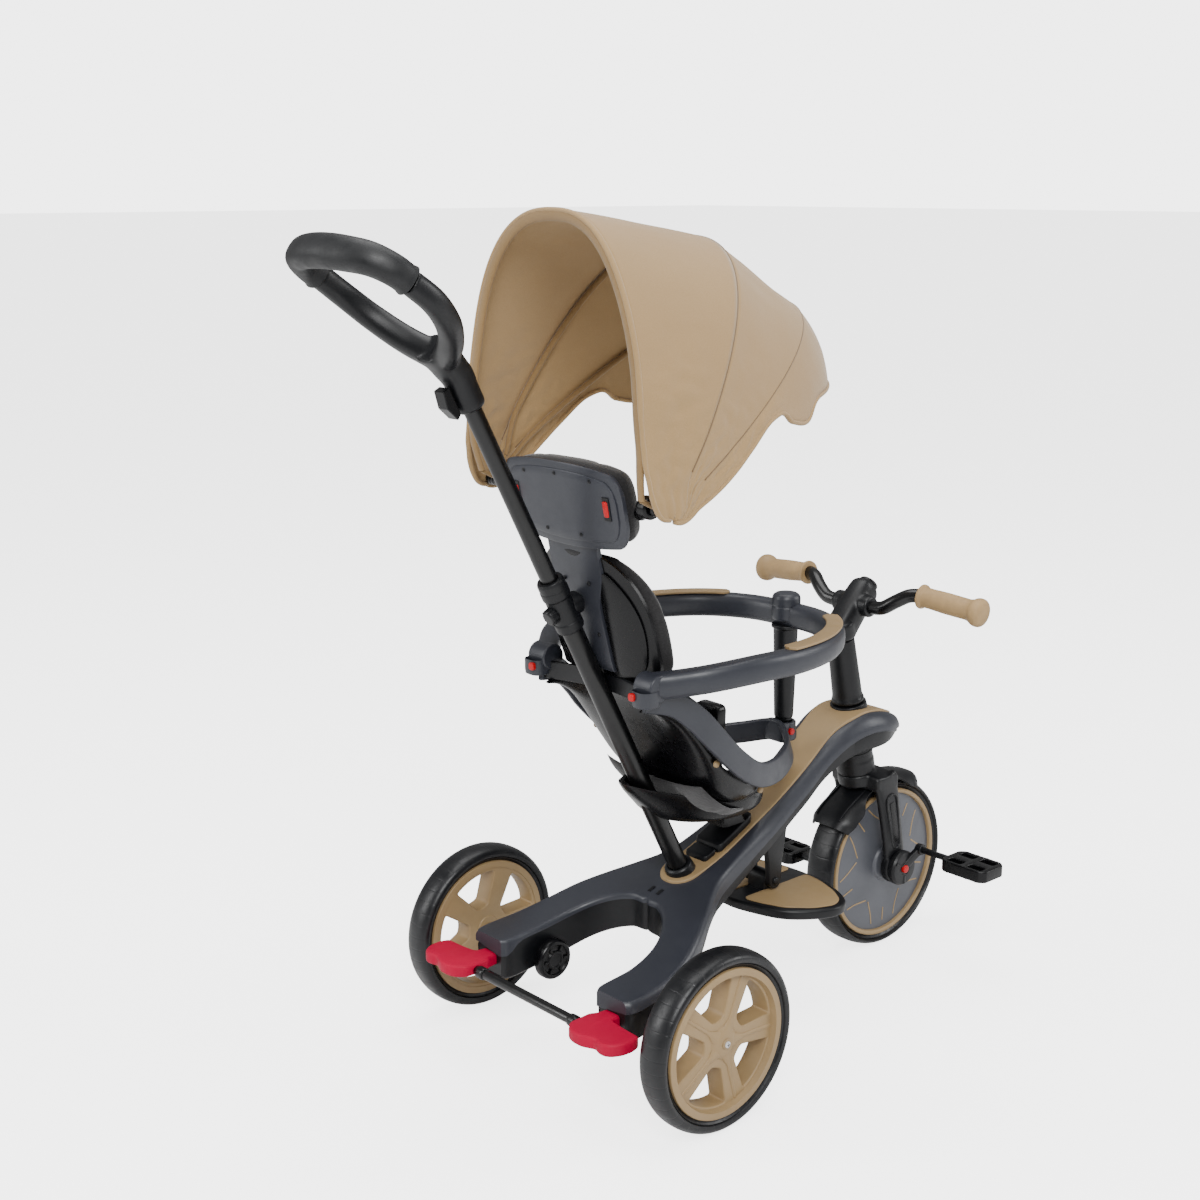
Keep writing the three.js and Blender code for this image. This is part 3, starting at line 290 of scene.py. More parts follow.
def sweep(section, path, up=UP, closed=False, size=None):
    """Draws an outline along a path; size gives its width and height factors on the way."""
    last = len(path) - 1
    rings = []
    for i, point in enumerate(path):
        before = path[i - 1] if closed or i > 0 else path[0]
        after = path[(i + 1) % len(path)] if closed else path[min(i + 1, last)]
        along = (after - before).normalized()
        side = along.cross(up).normalized()
        top = side.cross(along)
        wide, high = size(i / last) if size else (1, 1)
        rings.append([point + side * a * wide + top * b * high for a, b in section])
    return loft(rings, closed)


def cross_axes(axis, helper):
    """Two directions square to an axis and to each other."""
    first = axis.cross(helper).normalized()
    return first, axis.cross(first)


def lathe(profile, base, direction, sides=64):
    """A turned piece from (radius, distance) pairs, closed on itself or capped at its ends."""
    axis = direction.normalized()
    a, b = cross_axes(axis, ALONG if abs(axis.x) < 0.8 else UP)
    hollow = (Vector(profile[0]) - Vector(profile[-1])).length < 1e-6
    rings = []
    for radius, distance in profile[:-1] if hollow else profile:
        radius = max(radius, 0.02)
        centre = base + axis * distance
        rings.append([centre + (a * math.cos(t) + b * math.sin(t)) * radius for t in around(sides)])
    return loft(rings, closed=hollow)


def turned(profile, edge, base, direction, sides=64):
    """A turned piece with the corners of its profile rounded."""
    return lathe(softened(profile, edge), base, direction, sides)


def rod(radius, start, end, sides=32, edge=1):
    length = (end - start).length
    return turned([(0, 0), (radius, 0), (radius, length), (0, length)], edge, start, end - start, sides)


def pillow_block(low, high, edge):
    """A box with rounded upright edges and softened rims."""
    centre = (low + high) / 2
    size = high - low
    outline = slab(size.x, size.y, edge * 2)
    heights = [(0, 0.8), (0.15, 0.94), (1, 1)]
    rings = []
    for lift, shrink in heights + [(1 - h, s) for h, s in reversed(heights)]:
        upper = len(rings) >= len(heights)
        z = high.z - edge * lift if upper else low.z + edge * lift
        k = 1 - (1 - shrink) * edge * 4 / max(size.x, size.y)
        rings.append([V(centre.x + a * k, centre.y + b * k, z) for a, b in outline])
    return loft(rings)


def flat_piece(outline, depth, rim, at, across=ACROSS, holes=()):
    """A plate cut to an outline with holes, its edges rounded. It lies along x and the across axis."""
    curve = bpy.data.curves.new("flat", "CURVE")
    curve.dimensions = "2D"
    curve.fill_mode = "BOTH"
    for row in [outline, *holes]:
        spline = curve.splines.new("POLY")
        spline.points.add(len(row) - 1)
        for point, (u, v) in zip(spline.points, row):
            point.co = (u, v, 0, 1)
        spline.use_cyclic_u = True
    curve.extrude = depth / 2 - rim
    curve.bevel_depth = rim
    curve.bevel_resolution = 3
    curve.offset = -rim
    holder = bpy.data.objects.new("flat", curve)
    bpy.context.collection.objects.link(holder)
    mesh = bpy.data.meshes.new_from_object(holder.evaluated_get(bpy.context.evaluated_depsgraph_get()))
    normal = ALONG.cross(across)
    points = [at + ALONG * p.co.x + across * p.co.y + normal * p.co.z for p in mesh.vertices]
    faces = [tuple(f.vertices) for f in mesh.polygons]
    bpy.data.objects.remove(holder)
    bpy.data.meshes.remove(mesh)
    return Shape(points, faces)


# ---------------------------------------------------------------- making objects

def piece(name, shape, body, materials, replaces=(), angle=40, bevel=0, subdivide=0, centre=None):
    """One named mesh object, in metres, riding on its body."""
    mesh = bpy.data.meshes.new(name)
    shift = place(centre) if centre is not None else Vector()
    mesh.from_pydata([place(p) - shift for p in shape.points], [], shape.faces)
    for material in materials if isinstance(materials, (list, tuple)) else [materials]:
        mesh.materials.append(material)
    mesh.polygons.foreach_set("material_index", shape.slots)
    mesh.validate()
    fix_normals(mesh)
    mesh.shade_smooth()
    if angle < 180:
        mesh.set_sharp_from_angle(angle=math.radians(angle))
    thing = bpy.data.objects.new(name, mesh)
    bpy.context.collection.objects.link(thing)
    thing.location = shift
    if bevel:
        add_bevel(thing, bevel)
    if subdivide:
        rounds = thing.modifiers.new("rounds", "SUBSURF")
        rounds.levels = rounds.render_levels = subdivide
    return finish_piece(thing, body, replaces)


def finish_piece(thing, body, replaces=()):
    if body:
        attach(thing, body)
    names = [replaces] if isinstance(replaces, str) else list(replaces)
    if names:
        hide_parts(*names)
    return thing


def fix_normals(mesh):
    work = bmesh.new()
    work.from_mesh(mesh)
    bmesh.ops.remove_doubles(work, verts=work.verts, dist=1e-6)
    bmesh.ops.recalc_face_normals(work, faces=work.faces)
    work.to_mesh(mesh)
    work.free()


def add_bevel(thing, width):
    edge = thing.modifiers.new("edge", "BEVEL")
    edge.width = width / 1000
    edge.segments = 3
    edge.limit_method = "ANGLE"
    edge.angle_limit = math.radians(32)
    edge.harden_normals = True


def refined(node, body, material, bevel):
    """A copy of a CAD node with softened edges, standing for it."""
    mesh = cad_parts[node].data.copy()
    mesh.transform(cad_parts[node].matrix_world)
    mesh.materials.clear()
    mesh.materials.append(material)
    work = bmesh.new()
    work.from_mesh(mesh)
    bmesh.ops.remove_doubles(work, verts=work.verts, dist=1e-5)
    bmesh.ops.dissolve_limit(work, angle_limit=math.radians(1), verts=work.verts, edges=work.edges)
    work.to_mesh(mesh)
    work.free()
    mesh.shade_smooth()
    mesh.set_sharp_from_angle(angle=math.radians(35))
    thing = bpy.data.objects.new(f"{node}_skin", mesh)
    bpy.context.collection.objects.link(thing)
    add_bevel(thing, bevel)
    return finish_piece(thing, body, node)


def baked(thing):
    """Applies an object's modifiers to its mesh."""
    ready = thing.evaluated_get(bpy.context.evaluated_depsgraph_get())
    mesh = bpy.data.meshes.new_from_object(ready)
    thing.modifiers.clear()
    thing.data = mesh


def moulded(name, shape, body, replaces, voxel, rounds):
    """Several overlapping forms melted into one black moulding."""
    thing = piece(name, shape, None, BLACK, angle=180)
    melt = thing.modifiers.new("melt", "REMESH")
    melt.mode = "VOXEL"
    melt.voxel_size = voxel / 1000
    melt.use_smooth_shade = True
    relax = thing.modifiers.new("relax", "SMOOTH")
    relax.factor = 0.5
    relax.iterations = rounds
    baked(thing)
    thing.data.materials.clear()
    thing.data.materials.append(BLACK)
    thing.data.shade_smooth()
    return finish_piece(thing, body, replaces)


# ---------------------------------------------------------------- materials

def linear(hex_colour):
    """The linear colour of an sRGB hex string."""
    values = [int(hex_colour[k:k + 2], 16) / 255 for k in (1, 3, 5)]
    return tuple(c / 12.92 if c <= 0.04045 else ((c + 0.055) / 1.055) ** 2.4 for c in values) + (1,)


def scaled(colour, factor):
    return tuple(min(1, c * factor) for c in colour[:3]) + (1,)


class Nodes:
    """A new material with its shader, and short ways to add and join nodes."""

    def __init__(self, name, roughness, metallic=0.0, coat=0.0, sheen=0.0, specular=0.5):
        self.material = bpy.data.materials.new(name)
        self.material.use_nodes = True
        self.tree = self.material.node_tree
        self.shader = self.tree.nodes["Principled BSDF"]
        self.shader.inputs["Roughness"].default_value = roughness
        self.shader.inputs["Metallic"].default_value = metallic
        self.shader.inputs["Specular IOR Level"].default_value = specular
        self.shader.inputs["Coat Weight"].default_value = coat
        self.shader.inputs["Coat Roughness"].default_value = 0.12
        self.shader.inputs["Sheen Weight"].default_value = sheen
        self.shader.inputs["Sheen Roughness"].default_value = 0.5
        self.space = self.add("ShaderNodeTexCoord").outputs["Object"]

    def add(self, kind, **settings):
        node = self.tree.nodes.new(kind)
        for key, value in settings.items():
            setattr(node, key, value)
        return node

    def link(self, source, target):
        self.tree.links.new(source, target)

    def noise(self, scale, detail=3, roughness=0.55, distortion=0.0):
        node = self.add("ShaderNodeTexNoise")
        node.inputs["Scale"].default_value = scale
        node.inputs["Detail"].default_value = detail
        node.inputs["Roughness"].default_value = roughness
        node.inputs["Distortion"].default_value = distortion
        self.link(self.space, node.inputs["Vector"])
        return node.outputs["Fac"]

    def spread(self, value, low, high, start=0.3, stop=0.7):
        node = self.add("ShaderNodeMapRange")
        self.link(value, node.inputs["Value"])
        for key, number in (("From Min", start), ("From Max", stop), ("To Min", low), ("To Max", high)):
            node.inputs[key].default_value = number
        return node.outputs["Result"]

    def maths(self, operation, a, b=None, c=None):
        node = self.add("ShaderNodeMath", operation=operation)
        for socket, value in zip(node.inputs, (a, b, c)):
            if isinstance(value, (int, float)):
                socket.default_value = value
            elif value is not None:
                self.link(value, socket)
        return node.outputs[0]

    def blend(self, factor, a, b):
        node = self.add("ShaderNodeMix", data_type="RGBA")
        self.link(factor, node.inputs["Factor"])
        for socket, value in ((node.inputs["A"], a), (node.inputs["B"], b)):
            if isinstance(value, tuple):
                socket.default_value = value
            else:
                self.link(value, socket)
        return node.outputs["Result"]

    def colour(self, value):
        self.link(value, self.shader.inputs["Base Color"])

    def roughness(self, value):
        self.link(value, self.shader.inputs["Roughness"])

    def bump(self, height, strength, distance, after=None):
        node = self.add("ShaderNodeBump")
        node.inputs["Strength"].default_value = strength
        node.inputs["Distance"].default_value = distance
        self.link(height, node.inputs["Height"])
        if after is not None:
            self.link(after, node.inputs["Normal"])
        self.link(node.outputs["Normal"], self.shader.inputs["Normal"])
        return node.outputs["Normal"]


def plastic(name, hex_colour, roughness, grain, wear=0.0, specular=0.5, flow=0.1):
    """Moulded plastic: a fine eroded grain, uneven gloss, faint flow marks and paler worn edges."""
    n = Nodes(name, roughness, specular=specular)
    base = linear(hex_colour)
    cloud = n.noise(9, 4, 0.6)
    shade = n.blend(n.spread(cloud, 0, 1), scaled(base, 0.93), scaled(base, 1.07))
    edge = n.add("ShaderNodeNewGeometry").outputs["Pointiness"]
    worn = n.spread(edge, 0, wear, 0.56, 0.7)
    n.colour(n.blend(worn, shade, scaled(base, 1.9)))
    n.roughness(n.spread(n.noise(38, 5, 0.65), roughness * 0.86, roughness * 1.16))
    fine = n.bump(n.noise(2100, 2, 0.5), grain, 0.00012)
    n.bump(n.noise(55, 2), flow, 0.0006, fine)
    return n.material


def rubber(name, hex_colour, roughness, tread=0):
    """Tyre rubber: dull, a little dusty, with a fine pitted grain and faint moulded tread lines."""
    n = Nodes(name, roughness, specular=0.4)
    base = linear(hex_colour)
    dust = n.spread(n.noise(24, 5, 0.7), 0, 0.5, 0.45, 0.8)
    n.colour(n.blend(dust, base, scaled(base, 1.7)))
    n.roughness(n.spread(n.noise(60, 4), roughness - 0.08, roughness + 0.12))
    normal = n.bump(n.noise(1300, 3, 0.6), 0.2, 0.0002)
    if tread:
        parts = n.add("ShaderNodeSeparateXYZ")
        n.link(n.space, parts.inputs["Vector"])
        turn = n.maths("ARCTAN2", parts.outputs["Z"], parts.outputs["X"])
        bend = n.maths("ABSOLUTE", parts.outputs["Y"])
        phase = n.maths("MULTIPLY_ADD", bend, 28.0, n.maths("MULTIPLY", turn, tread))
        wave = n.maths("SINE", phase)
        line = n.spread(wave, 1, 0, 0.93, 1.0)
        n.bump(line, 0.28, 0.0006, normal)
    return n.material


def tube_paint(name, hex_colour):
    """Powder-coated steel tube: glossy with a light orange peel."""
    n = Nodes(name, 0.3, coat=0.15, specular=0.35)
    base = linear(hex_colour)
    n.colour(n.blend(n.spread(n.noise(14, 3), 0, 1), scaled(base, 0.85), scaled(base, 1.25)))
    n.roughness(n.spread(n.noise(50, 4), 0.26, 0.38))
    n.bump(n.noise(420, 2), 0.04, 0.0002)
    return n.material


def steel(name):
    """Zinc-plated screw steel, slightly mottled."""
    n = Nodes(name, 0.42, metallic=0.3)
    n.colour(n.blend(n.spread(n.noise(120, 4), 0, 1), (0.5, 0.5, 0.5, 1), (0.7, 0.7, 0.7, 1)))
    n.bump(n.noise(900, 3), 0.15, 0.0001)
    return n.material


def weave(n, space, pitch):
    """The height of a plain weave: two crossed sets of threads, over and under by turns."""
    parts = n.add("ShaderNodeSeparateXYZ")
    n.link(space, parts.inputs["Vector"])
    u = n.maths("MULTIPLY", parts.outputs["X"], math.pi / pitch)
    w = n.maths("MULTIPLY", parts.outputs["Y"], math.pi / pitch)
    over = n.maths("MULTIPLY", n.maths("SINE", u), n.maths("SINE", w))
    warp = n.maths("ABSOLUTE", n.maths("COSINE", u))
    weft = n.maths("ABSOLUTE", n.maths("COSINE", w))
    height = n.maths("ADD", n.maths("MULTIPLY", warp, 0.5), n.maths("MULTIPLY", weft, 0.5))
    return n.maths("MULTIPLY_ADD", over, 0.35, height)


def canopy_cloth(name, hex_colour):
    """Tightly woven polyester with slubs, a soft sheen, slow tone changes that are painted shade from its
    folds, and painted shade in the hollows of its weave.
    """
    n = Nodes(name, 0.82, sheen=0.25)
    base = linear(hex_colour)
    uv = n.add("ShaderNodeTexCoord").outputs["UV"]
    soft = n.bump(n.noise(16, 3, 0.5, distortion=0.4), 0.25, 0.004)
    height = weave(n, uv, 0.0009)
    n.bump(height, 0.35, 0.00018, soft)
    slub = n.noise(700, 2)
    # painted shade: slow tone changes that stand in for the shade of the folds
    tint = n.blend(n.spread(n.noise(7, 4), 0, 1), scaled(base, 0.95), scaled(base, 1.05))
    thread = n.blend(n.spread(slub, 0, 0.6), tint, scaled(base, 0.86))
    # painted shade: the colour darkens toward base * 0.72 where the weave dips between its threads
    n.colour(n.blend(n.spread(height, 0.35, 0, 0.3, 1.0), thread, scaled(base, 0.72)))
    n.roughness(n.spread(slub, 0.76, 0.9))
    return n.material


def cushion_cloth(name, hex_colour):
    """Dark spacer knit: small rounded cells, a soft pile and a faint sheen."""
    n = Nodes(name, 0.85, sheen=0.35)
    base = linear(hex_colour)
    cells = n.add("ShaderNodeTexVoronoi")
    cells.inputs["Scale"].default_value = 520
    n.link(n.space, cells.inputs["Vector"])
    height = cells.outputs["Distance"]
    tint = n.blend(n.spread(n.noise(22, 4), 0, 1), scaled(base, 0.8), scaled(base, 1.3))
    n.colour(n.blend(n.spread(height, 0, 0.7, 0.1, 0.6), tint, scaled(base, 0.45)))
    n.roughness(n.spread(n.noise(240, 3), 0.78, 0.95))
    soft = n.bump(n.noise(30, 3), 0.35, 0.003)
    n.bump(height, 0.5, 0.0006, soft)
    return n.material


def webbing(name, hex_colour):
    """Ribbed polyester strap, with painted shade in the grooves between its ribs and painted light on their
    tops.
    """
    n = Nodes(name, 0.7, sheen=0.2)
    base = linear(hex_colour)
    ribs = n.add("ShaderNodeTexWave", wave_type="BANDS", bands_direction="Z")
    ribs.inputs["Scale"].default_value = 380
    ribs.inputs["Distortion"].default_value = 0.6
    n.link(n.space, ribs.inputs["Vector"])
    # painted shade and light: the colour follows the ribs' height, darker in the grooves and lighter on top
    n.colour(n.blend(ribs.outputs["Fac"], scaled(base, 0.6), scaled(base, 1.3)))
    n.bump(ribs.outputs["Fac"], 0.5, 0.0004)
    return n.material


SLATE = plastic("slate plastic", "#292B32", 0.4, grain=0.3, wear=0.1, specular=0.45)
TAN = plastic("tan plastic", "#8F7753", 0.5, grain=0.3, wear=0.06)
BLACK = plastic("black plastic", "#0A0B0E", 0.4, grain=0.22, wear=0.12, specular=0.34)
GLOSS = plastic("gloss black plastic", "#060608", 0.27, grain=0.03, specular=0.27, flow=0.02)
DISC = plastic("grey disc plastic", "#4A4C52", 0.42, grain=0.3, wear=0.06)
CRIMSON = plastic("crimson plastic", "#A80032", 0.52, grain=0.15, specular=0.12)
RED = plastic("red button plastic", "#B0060E", 0.36, grain=0.1, specular=0.3)
RUBBER = rubber("tyre rubber", "#0C0D10", 0.36, tread=42)
GRIP = rubber("grip rubber", "#977C56", 0.6)
FOAM = rubber("handle grip rubber", "#101113", 0.5)
TUBE = tube_paint("black tube paint", "#060607")
STEEL = steel("screw steel")
CLOTH = canopy_cloth("canopy cloth", "#9D7F54")
# painted shade: the rib sleeves take the canopy cloth darkened, for the shade along them
SLEEVE_SHADE_CLOTH = canopy_cloth("canopy sleeve shaded cloth", "#84683F")
# painted shade: the seam tapes take the canopy cloth darkened further, for the shade along the seams
SEAM_SHADE_CLOTH = canopy_cloth("canopy seam tape shaded", "#6F5838")
KNIT = cushion_cloth("cushion knit", "#161416")
STRAP = webbing("strap webbing", "#0E0E10")


# ---------------------------------------------------------------- small hardware

def screw(at, direction, radius):
    """A domed screw sunk in its seat, its cross recess drawn as two raised bars on a second slot, which a
    dark material turns into painted shade.
    """
    head = lathe([(0, 1.4), (radius * 0.6, 1.2), (radius, 0.3), (radius, -1.2), (0, -1.2)], at, direction, 20)
    axis = direction.normalized()
    recess_shade_bars = []
    for side in cross_axes(axis, UP if abs(axis.z) < 0.8 else ALONG):
        path = [at + axis * 1.35 - side * radius * 0.55, at + axis * 1.35 + side * radius * 0.55]
        recess_shade_bars.append(sweep(slab(0.8, 0.4, 0.1), path, up=axis).painted(1))
    return joined(head, *recess_shade_bars)


# ---------------------------------------------------------------- wheels

def tyre_shape(radius, rim, width, centre):
    """A tyre with a full crown, and a small bead where each side meets the rim."""
    half = width / 2
    flank = rim + (radius - rim) * 0.5
    crown = []
    for t in steps(0, math.pi, 22):
        lift = math.sin(t) ** 0.85
        side = math.copysign(abs(math.cos(t)) ** 0.9, math.cos(t))
        crown.append((flank + (radius - flank) * lift, -half * side))
    bead = [(rim + 1.5, -half * 0.72), (rim + 4.5, -half * 0.86), (rim + 5.2, -half * 0.82),
            (rim + 6.2, -half * 0.93)]
    left = bead + crown
    right = [(r, -h) for r, h in reversed(bead)]
    inner = [(rim, half * 0.7), (rim, -half * 0.7)]
    profile = left + right + inner + [left[0]]
    return lathe(profile, centre, ACROSS, 128)


SPOKES = 5
RIM_TURN = 0.58


def rear_window(turn):
    """One opening between two spokes: a straight-sided wedge with an arched outer edge."""
    inner, outer, spoke = 33, 78, 11.5
    narrow, wide = (math.pi / SPOKES - math.asin(spoke / r) for r in (inner, outer))
    outline = [(inner * math.cos(narrow), -inner * math.sin(narrow))]
    outline += [(outer * math.cos(a), outer * math.sin(a)) for a in steps(-wide * 0.88, wide * 0.88, 10)]
    outline += [(inner * math.cos(narrow), inner * math.sin(narrow)), (inner * 0.93, 0)]
    rounded = softened(outline, 7, closed=True, sides=5)
    c, s = math.cos(turn), math.sin(turn)
    return [(u * c - w * s, u * s + w * c) for u, w in rounded]


def rear_rim_shape(centre, outward):
    """A moulded rim: a pierced plate in a barrel, a rib along each spoke, a hub, a cap and its screw."""
    lift = ACROSS * outward
    turns = [t + RIM_TURN for t in around(SPOKES)]
    circle = [(84.5 * math.cos(t), 84.5 * math.sin(t)) for t in around(120)]
    shapes = [flat_piece(circle, 28, 2.2, centre - lift * 3, UP, [rear_window(t) for t in turns])]
    r = REAR_RIM_RADIUS - 0.2
    barrel = [(83, -18), (r, -18), (r, 18), (83, 18), (80.5, 10), (81.5, 0), (80.5, -10), (83, -18)]
    shapes.append(turned(barrel, 1.4, centre, ACROSS, 120))
    spine = ((12, 12.4), (22, 11.4), (34, 10.6), (56, 10.4), (74, 10.2), (83, 9.6))

    def flare(s):
        return 0.55 + 1.3 * (1 - ease(s, 0, 0.3)), 1

    for turn in turns:
        t = turn + math.pi / SPOKES
        reach = V(math.cos(t), 0, math.sin(t))
        path = smooth_path([centre + reach * d + lift * h for d, h in spine], 20)
        shapes.append(sweep(oval(10, 4.4, 14), path, up=lift, size=flare))
    hub = [(0, -18.3), (17, -18.3), (18, -8), (24, 9), (17, 13.4), (11, 15.4), (0, 16)]
    cap = [(0, 15), (6.4, 15), (6.4, 16.8), (5, 17.4), (0, 17.6)]
    shapes += [turned(hub, 3, centre, lift, 60), turned(cap, 0.8, centre, lift, 40)]
    bolt = screw(centre + lift * 18.2, lift, 4)
    # painted shade: the head takes screw steel and the cross bars black plastic, for the shade in the recess
    bolt.slots = [1 + s for s in bolt.slots]
    return joined(*shapes, bolt)


def make_rear_wheels():
    axle = [(0, 67), (9, 67), (9, 65.6), (12, 65.6), (13, 68), (19, 68), (20, 65.8), (24, 65.8), (26, 68),
            (26.4, 71), (26.4, 78), (20, 79), (6, 80), (6, 238), (0, 238)]
    for side, sign in SIDES:
        centre = REAR_AXLE + ACROSS * sign * HALF_TRACK
        body = f"{side}_rear_wheel"
        piece(f"rear_tyre_{side}_rubber", tyre_shape(REAR_WHEEL_RADIUS, REAR_RIM_RADIUS, 40, centre), body,
              RUBBER, f"rear_tyre_{side}", centre=centre)
        piece(f"rear_rim_{side}_moulding", rear_rim_shape(centre, sign), body, [TAN, STEEL, BLACK],
              f"rear_rim_{side}", angle=32)
        boss = [turned(axle, 1, REAR_AXLE, ACROSS * sign, 48)]
        for t in around(6):
            path = [REAR_AXLE + V(math.cos(t) * r, sign * 66.8, math.sin(t) * r) for r in (13, 19)]
            boss.append(sweep(slab(3, 3, 0.8), path, up=ACROSS))
        piece(f"axle_boss_{side}", joined(*boss), "base", GLOSS, f"rear_axle_{side}")


def front_disc_lines(centre, side):
    """Thin tan strips set in the disc, in five groups that echo the windows of the rear rims."""
    lines = [[(94, -0.36), (80, -0.28), (63, -0.05)], [(94, 0.36), (80, 0.28), (63, 0.05)],
             [(92, 0.63), (72, 0.63)]]
    strips = []
    lift = ACROSS * side
    for t in around(SPOKES):
        for outline in lines:
            path = []
            for r, a in outline:
                turn = t + 0.35 + a
                spot = centre + V(math.cos(turn) * r, 0, math.sin(turn) * r)
                path.append(spot + lift * (disc_height(r) + 0.15))
            strips.append(sweep(oval(2.1, 1.0, 10), smooth_path(path, 12), up=lift))
    return strips


def disc_height(radius):
    """Half the thickness of the front disc at a radius."""
    return 20 - 4.2 * ease(radius, 25, 101)


def make_front_wheel():
    centre = FRONT_AXLE
    piece("front_tyre_rubber", tyre_shape(FRONT_WHEEL_RADIUS, FRONT_RIM_RADIUS, 48, centre), "front_wheel",
          RUBBER, "front_tyre", centre=centre)
    rim = [(102.6, -17.5), (103.2, -20.4), (106, -21.8), (109.5, -20.8), (109.5, 20.8), (106, 21.8),
           (103.2, 20.4), (102.6, 17.5), (102.6, -17.5)]
    piece("front_rim_ring", turned(rim, 1.2, centre, ACROSS, 128), "front_wheel", TAN, "front_rim")
    half = [(r, disc_height(r)) for r in (103.4, 101, 92, 84, 70, 56, 44, 36, 30, 27)]
    half += [(26, 22), (24, 24), (6.4, 24)]
    profile = [(r, -h) for r, h in half] + [(r, h) for r, h in reversed(half)]
    profile.append(profile[0])
    disc = turned(profile, 1.2, centre, ACROSS, 128)
    lines = front_disc_lines(centre, 1) + front_disc_lines(centre, -1)
    piece("front_disc_panel", joined(disc, *[s.painted(1) for s in lines]), "front_wheel", [DISC, TAN],
          "front_disc", angle=30)


# ---------------------------------------------------------------- steering

def steer_at(height):
    """The point of the steering axis at a height."""
    return STEER_LOW + STEER_UP * ((height - STEER_LOW.z) / STEER_UP.z)


def make_fork():
    def taper(s):
        return 1.04 - 0.34 * s + 0.2 * s * s, 1

    dropout = [(0, 31), (24, 31), (25, 33), (25, 43), (22, 45), (0, 45)]
    shapes = []
    for sign in (1, -1):
        hub = V(WHEELBASE, sign * 37, FRONT_WHEEL_RADIUS)
        path = [V(x, sign * y, z)
                for x, y, z in ((522, 37, 266), (530, 37.5, 238), (541, 38.5, 185), (550, 38, 140))]
        shapes.append(sweep(oval(44, 13, 28, 3), smooth_path(path + [hub], 24), up=ACROSS, size=taper))
        shapes.append(turned(dropout, 1.2, FRONT_AXLE, ACROSS * sign, 48))
    rings = []
    for y in steps(-43, 43, 16):
        lift = 7 * (1 - (y / 44) ** 2)
        rings.append([V(526 + a - lift, y, 257 + lift * 0.5 + b) for a, b in slab(46, 19 + lift, 6)])
    shapes.append(loft(rings))
    shapes.append(turned([(0, -2), (27, -2), (27, 14), (25, 17), (0, 17)], 2, steer_at(256), STEER_UP, 48))
    moulded("fork_moulding", joined(*shapes), "steering", "fork", voxel=1.8, rounds=7)
    trims = []
    for sign in (1, -1):
        high, low = V(533, sign * 44.4, 228), V(546, sign * 44.4, 163)
        run = (low - high).normalized()
        aside = run.cross(ACROSS)
        loop = []
        for t in steps(0, math.pi, 14):
            loop.append(high + aside * 11 * math.cos(t) - run * 11 * math.sin(t))
        for t in steps(math.pi, 2 * math.pi, 14):
            loop.append(low + aside * 8 * math.cos(t) - run * 8 * math.sin(t))
        trims.append(sweep(oval(3.4, 3.2, 12), smooth_path(loop, 72, closed=True), up=ACROSS, closed=True))
        core = [high + run * 2, high.lerp(low, 0.5), low - run * 2]
        trims.append(sweep(slab(9, 1.2, 0.4), smooth_path(core, 12), up=ACROSS).painted(1))
    piece("fork_blade_ribs", joined(*trims), "steering", [BLACK, GLOSS])


def make_fender():
    rows = []
    for degrees in steps(64, 145, 48):
        t = math.radians(degrees)
        ends = ease(abs(degrees - 100), 14, 30)
        half = 28.5 + 8 * ends
        radius = 129.6 + 7 * ease(abs(degrees - 100), 16, 43)
        row = []
        for u in steps(-1, 1, 24):
            r = radius - 14 * abs(u) ** 4 * ends - 3 * u * u
            tip = 1 - 0.16 * ease(abs(degrees - 104.5), 34, 40.5) * abs(u)
            row.append(V(WHEELBASE + r * math.cos(t), u * half * tip, FRONT_WHEEL_RADIUS + r * math.sin(t)))
        rows.append(row)
    guard = shell(rows, 2.6)
    ribs = []
    for u in (-0.62, 0.62):
        path = []
        for degrees in steps(112, 140, 12):
            t = math.radians(degrees)
            r = 132.4 + 7 * ease(abs(degrees - 100), 16, 43) - 1.4
            path.append(V(WHEELBASE + r * math.cos(t), u * 34, FRONT_WHEEL_RADIUS + r * math.sin(t)))
        ribs.append(sweep(oval(3, 1.6, 10), path, up=ACROSS))
    piece("fender_moulding", joined(guard, *ribs), "steering", BLACK, "fender", bevel=0.9)


def make_column():
    base = steer_at(379)
    profile = [(0, 0), (22.5, 0), (22.8, 4), (21.2, 8), (20.8, 12), (18.8, 94), (0, 94)]
    piece("column_sleeve", turned(profile, 1.5, base, STEER_UP, 64), "steering", BLACK, "steering_column")
    head = [(0, 2), (25, 0), (27.2, 2), (27.2, 18), (26.2, 22), (26, 100), (25.2, 107), (0, 107)]
    rings = [turned(head, 1.5, steer_at(272), STEER_UP, 64)]
    rings.append(lathe([(26, 30), (27, 31), (27, 34), (26, 35), (26, 30)], steer_at(272), STEER_UP, 64))
    piece("head_tube_sleeve", joined(*rings), "base", BLACK, "head_tube")


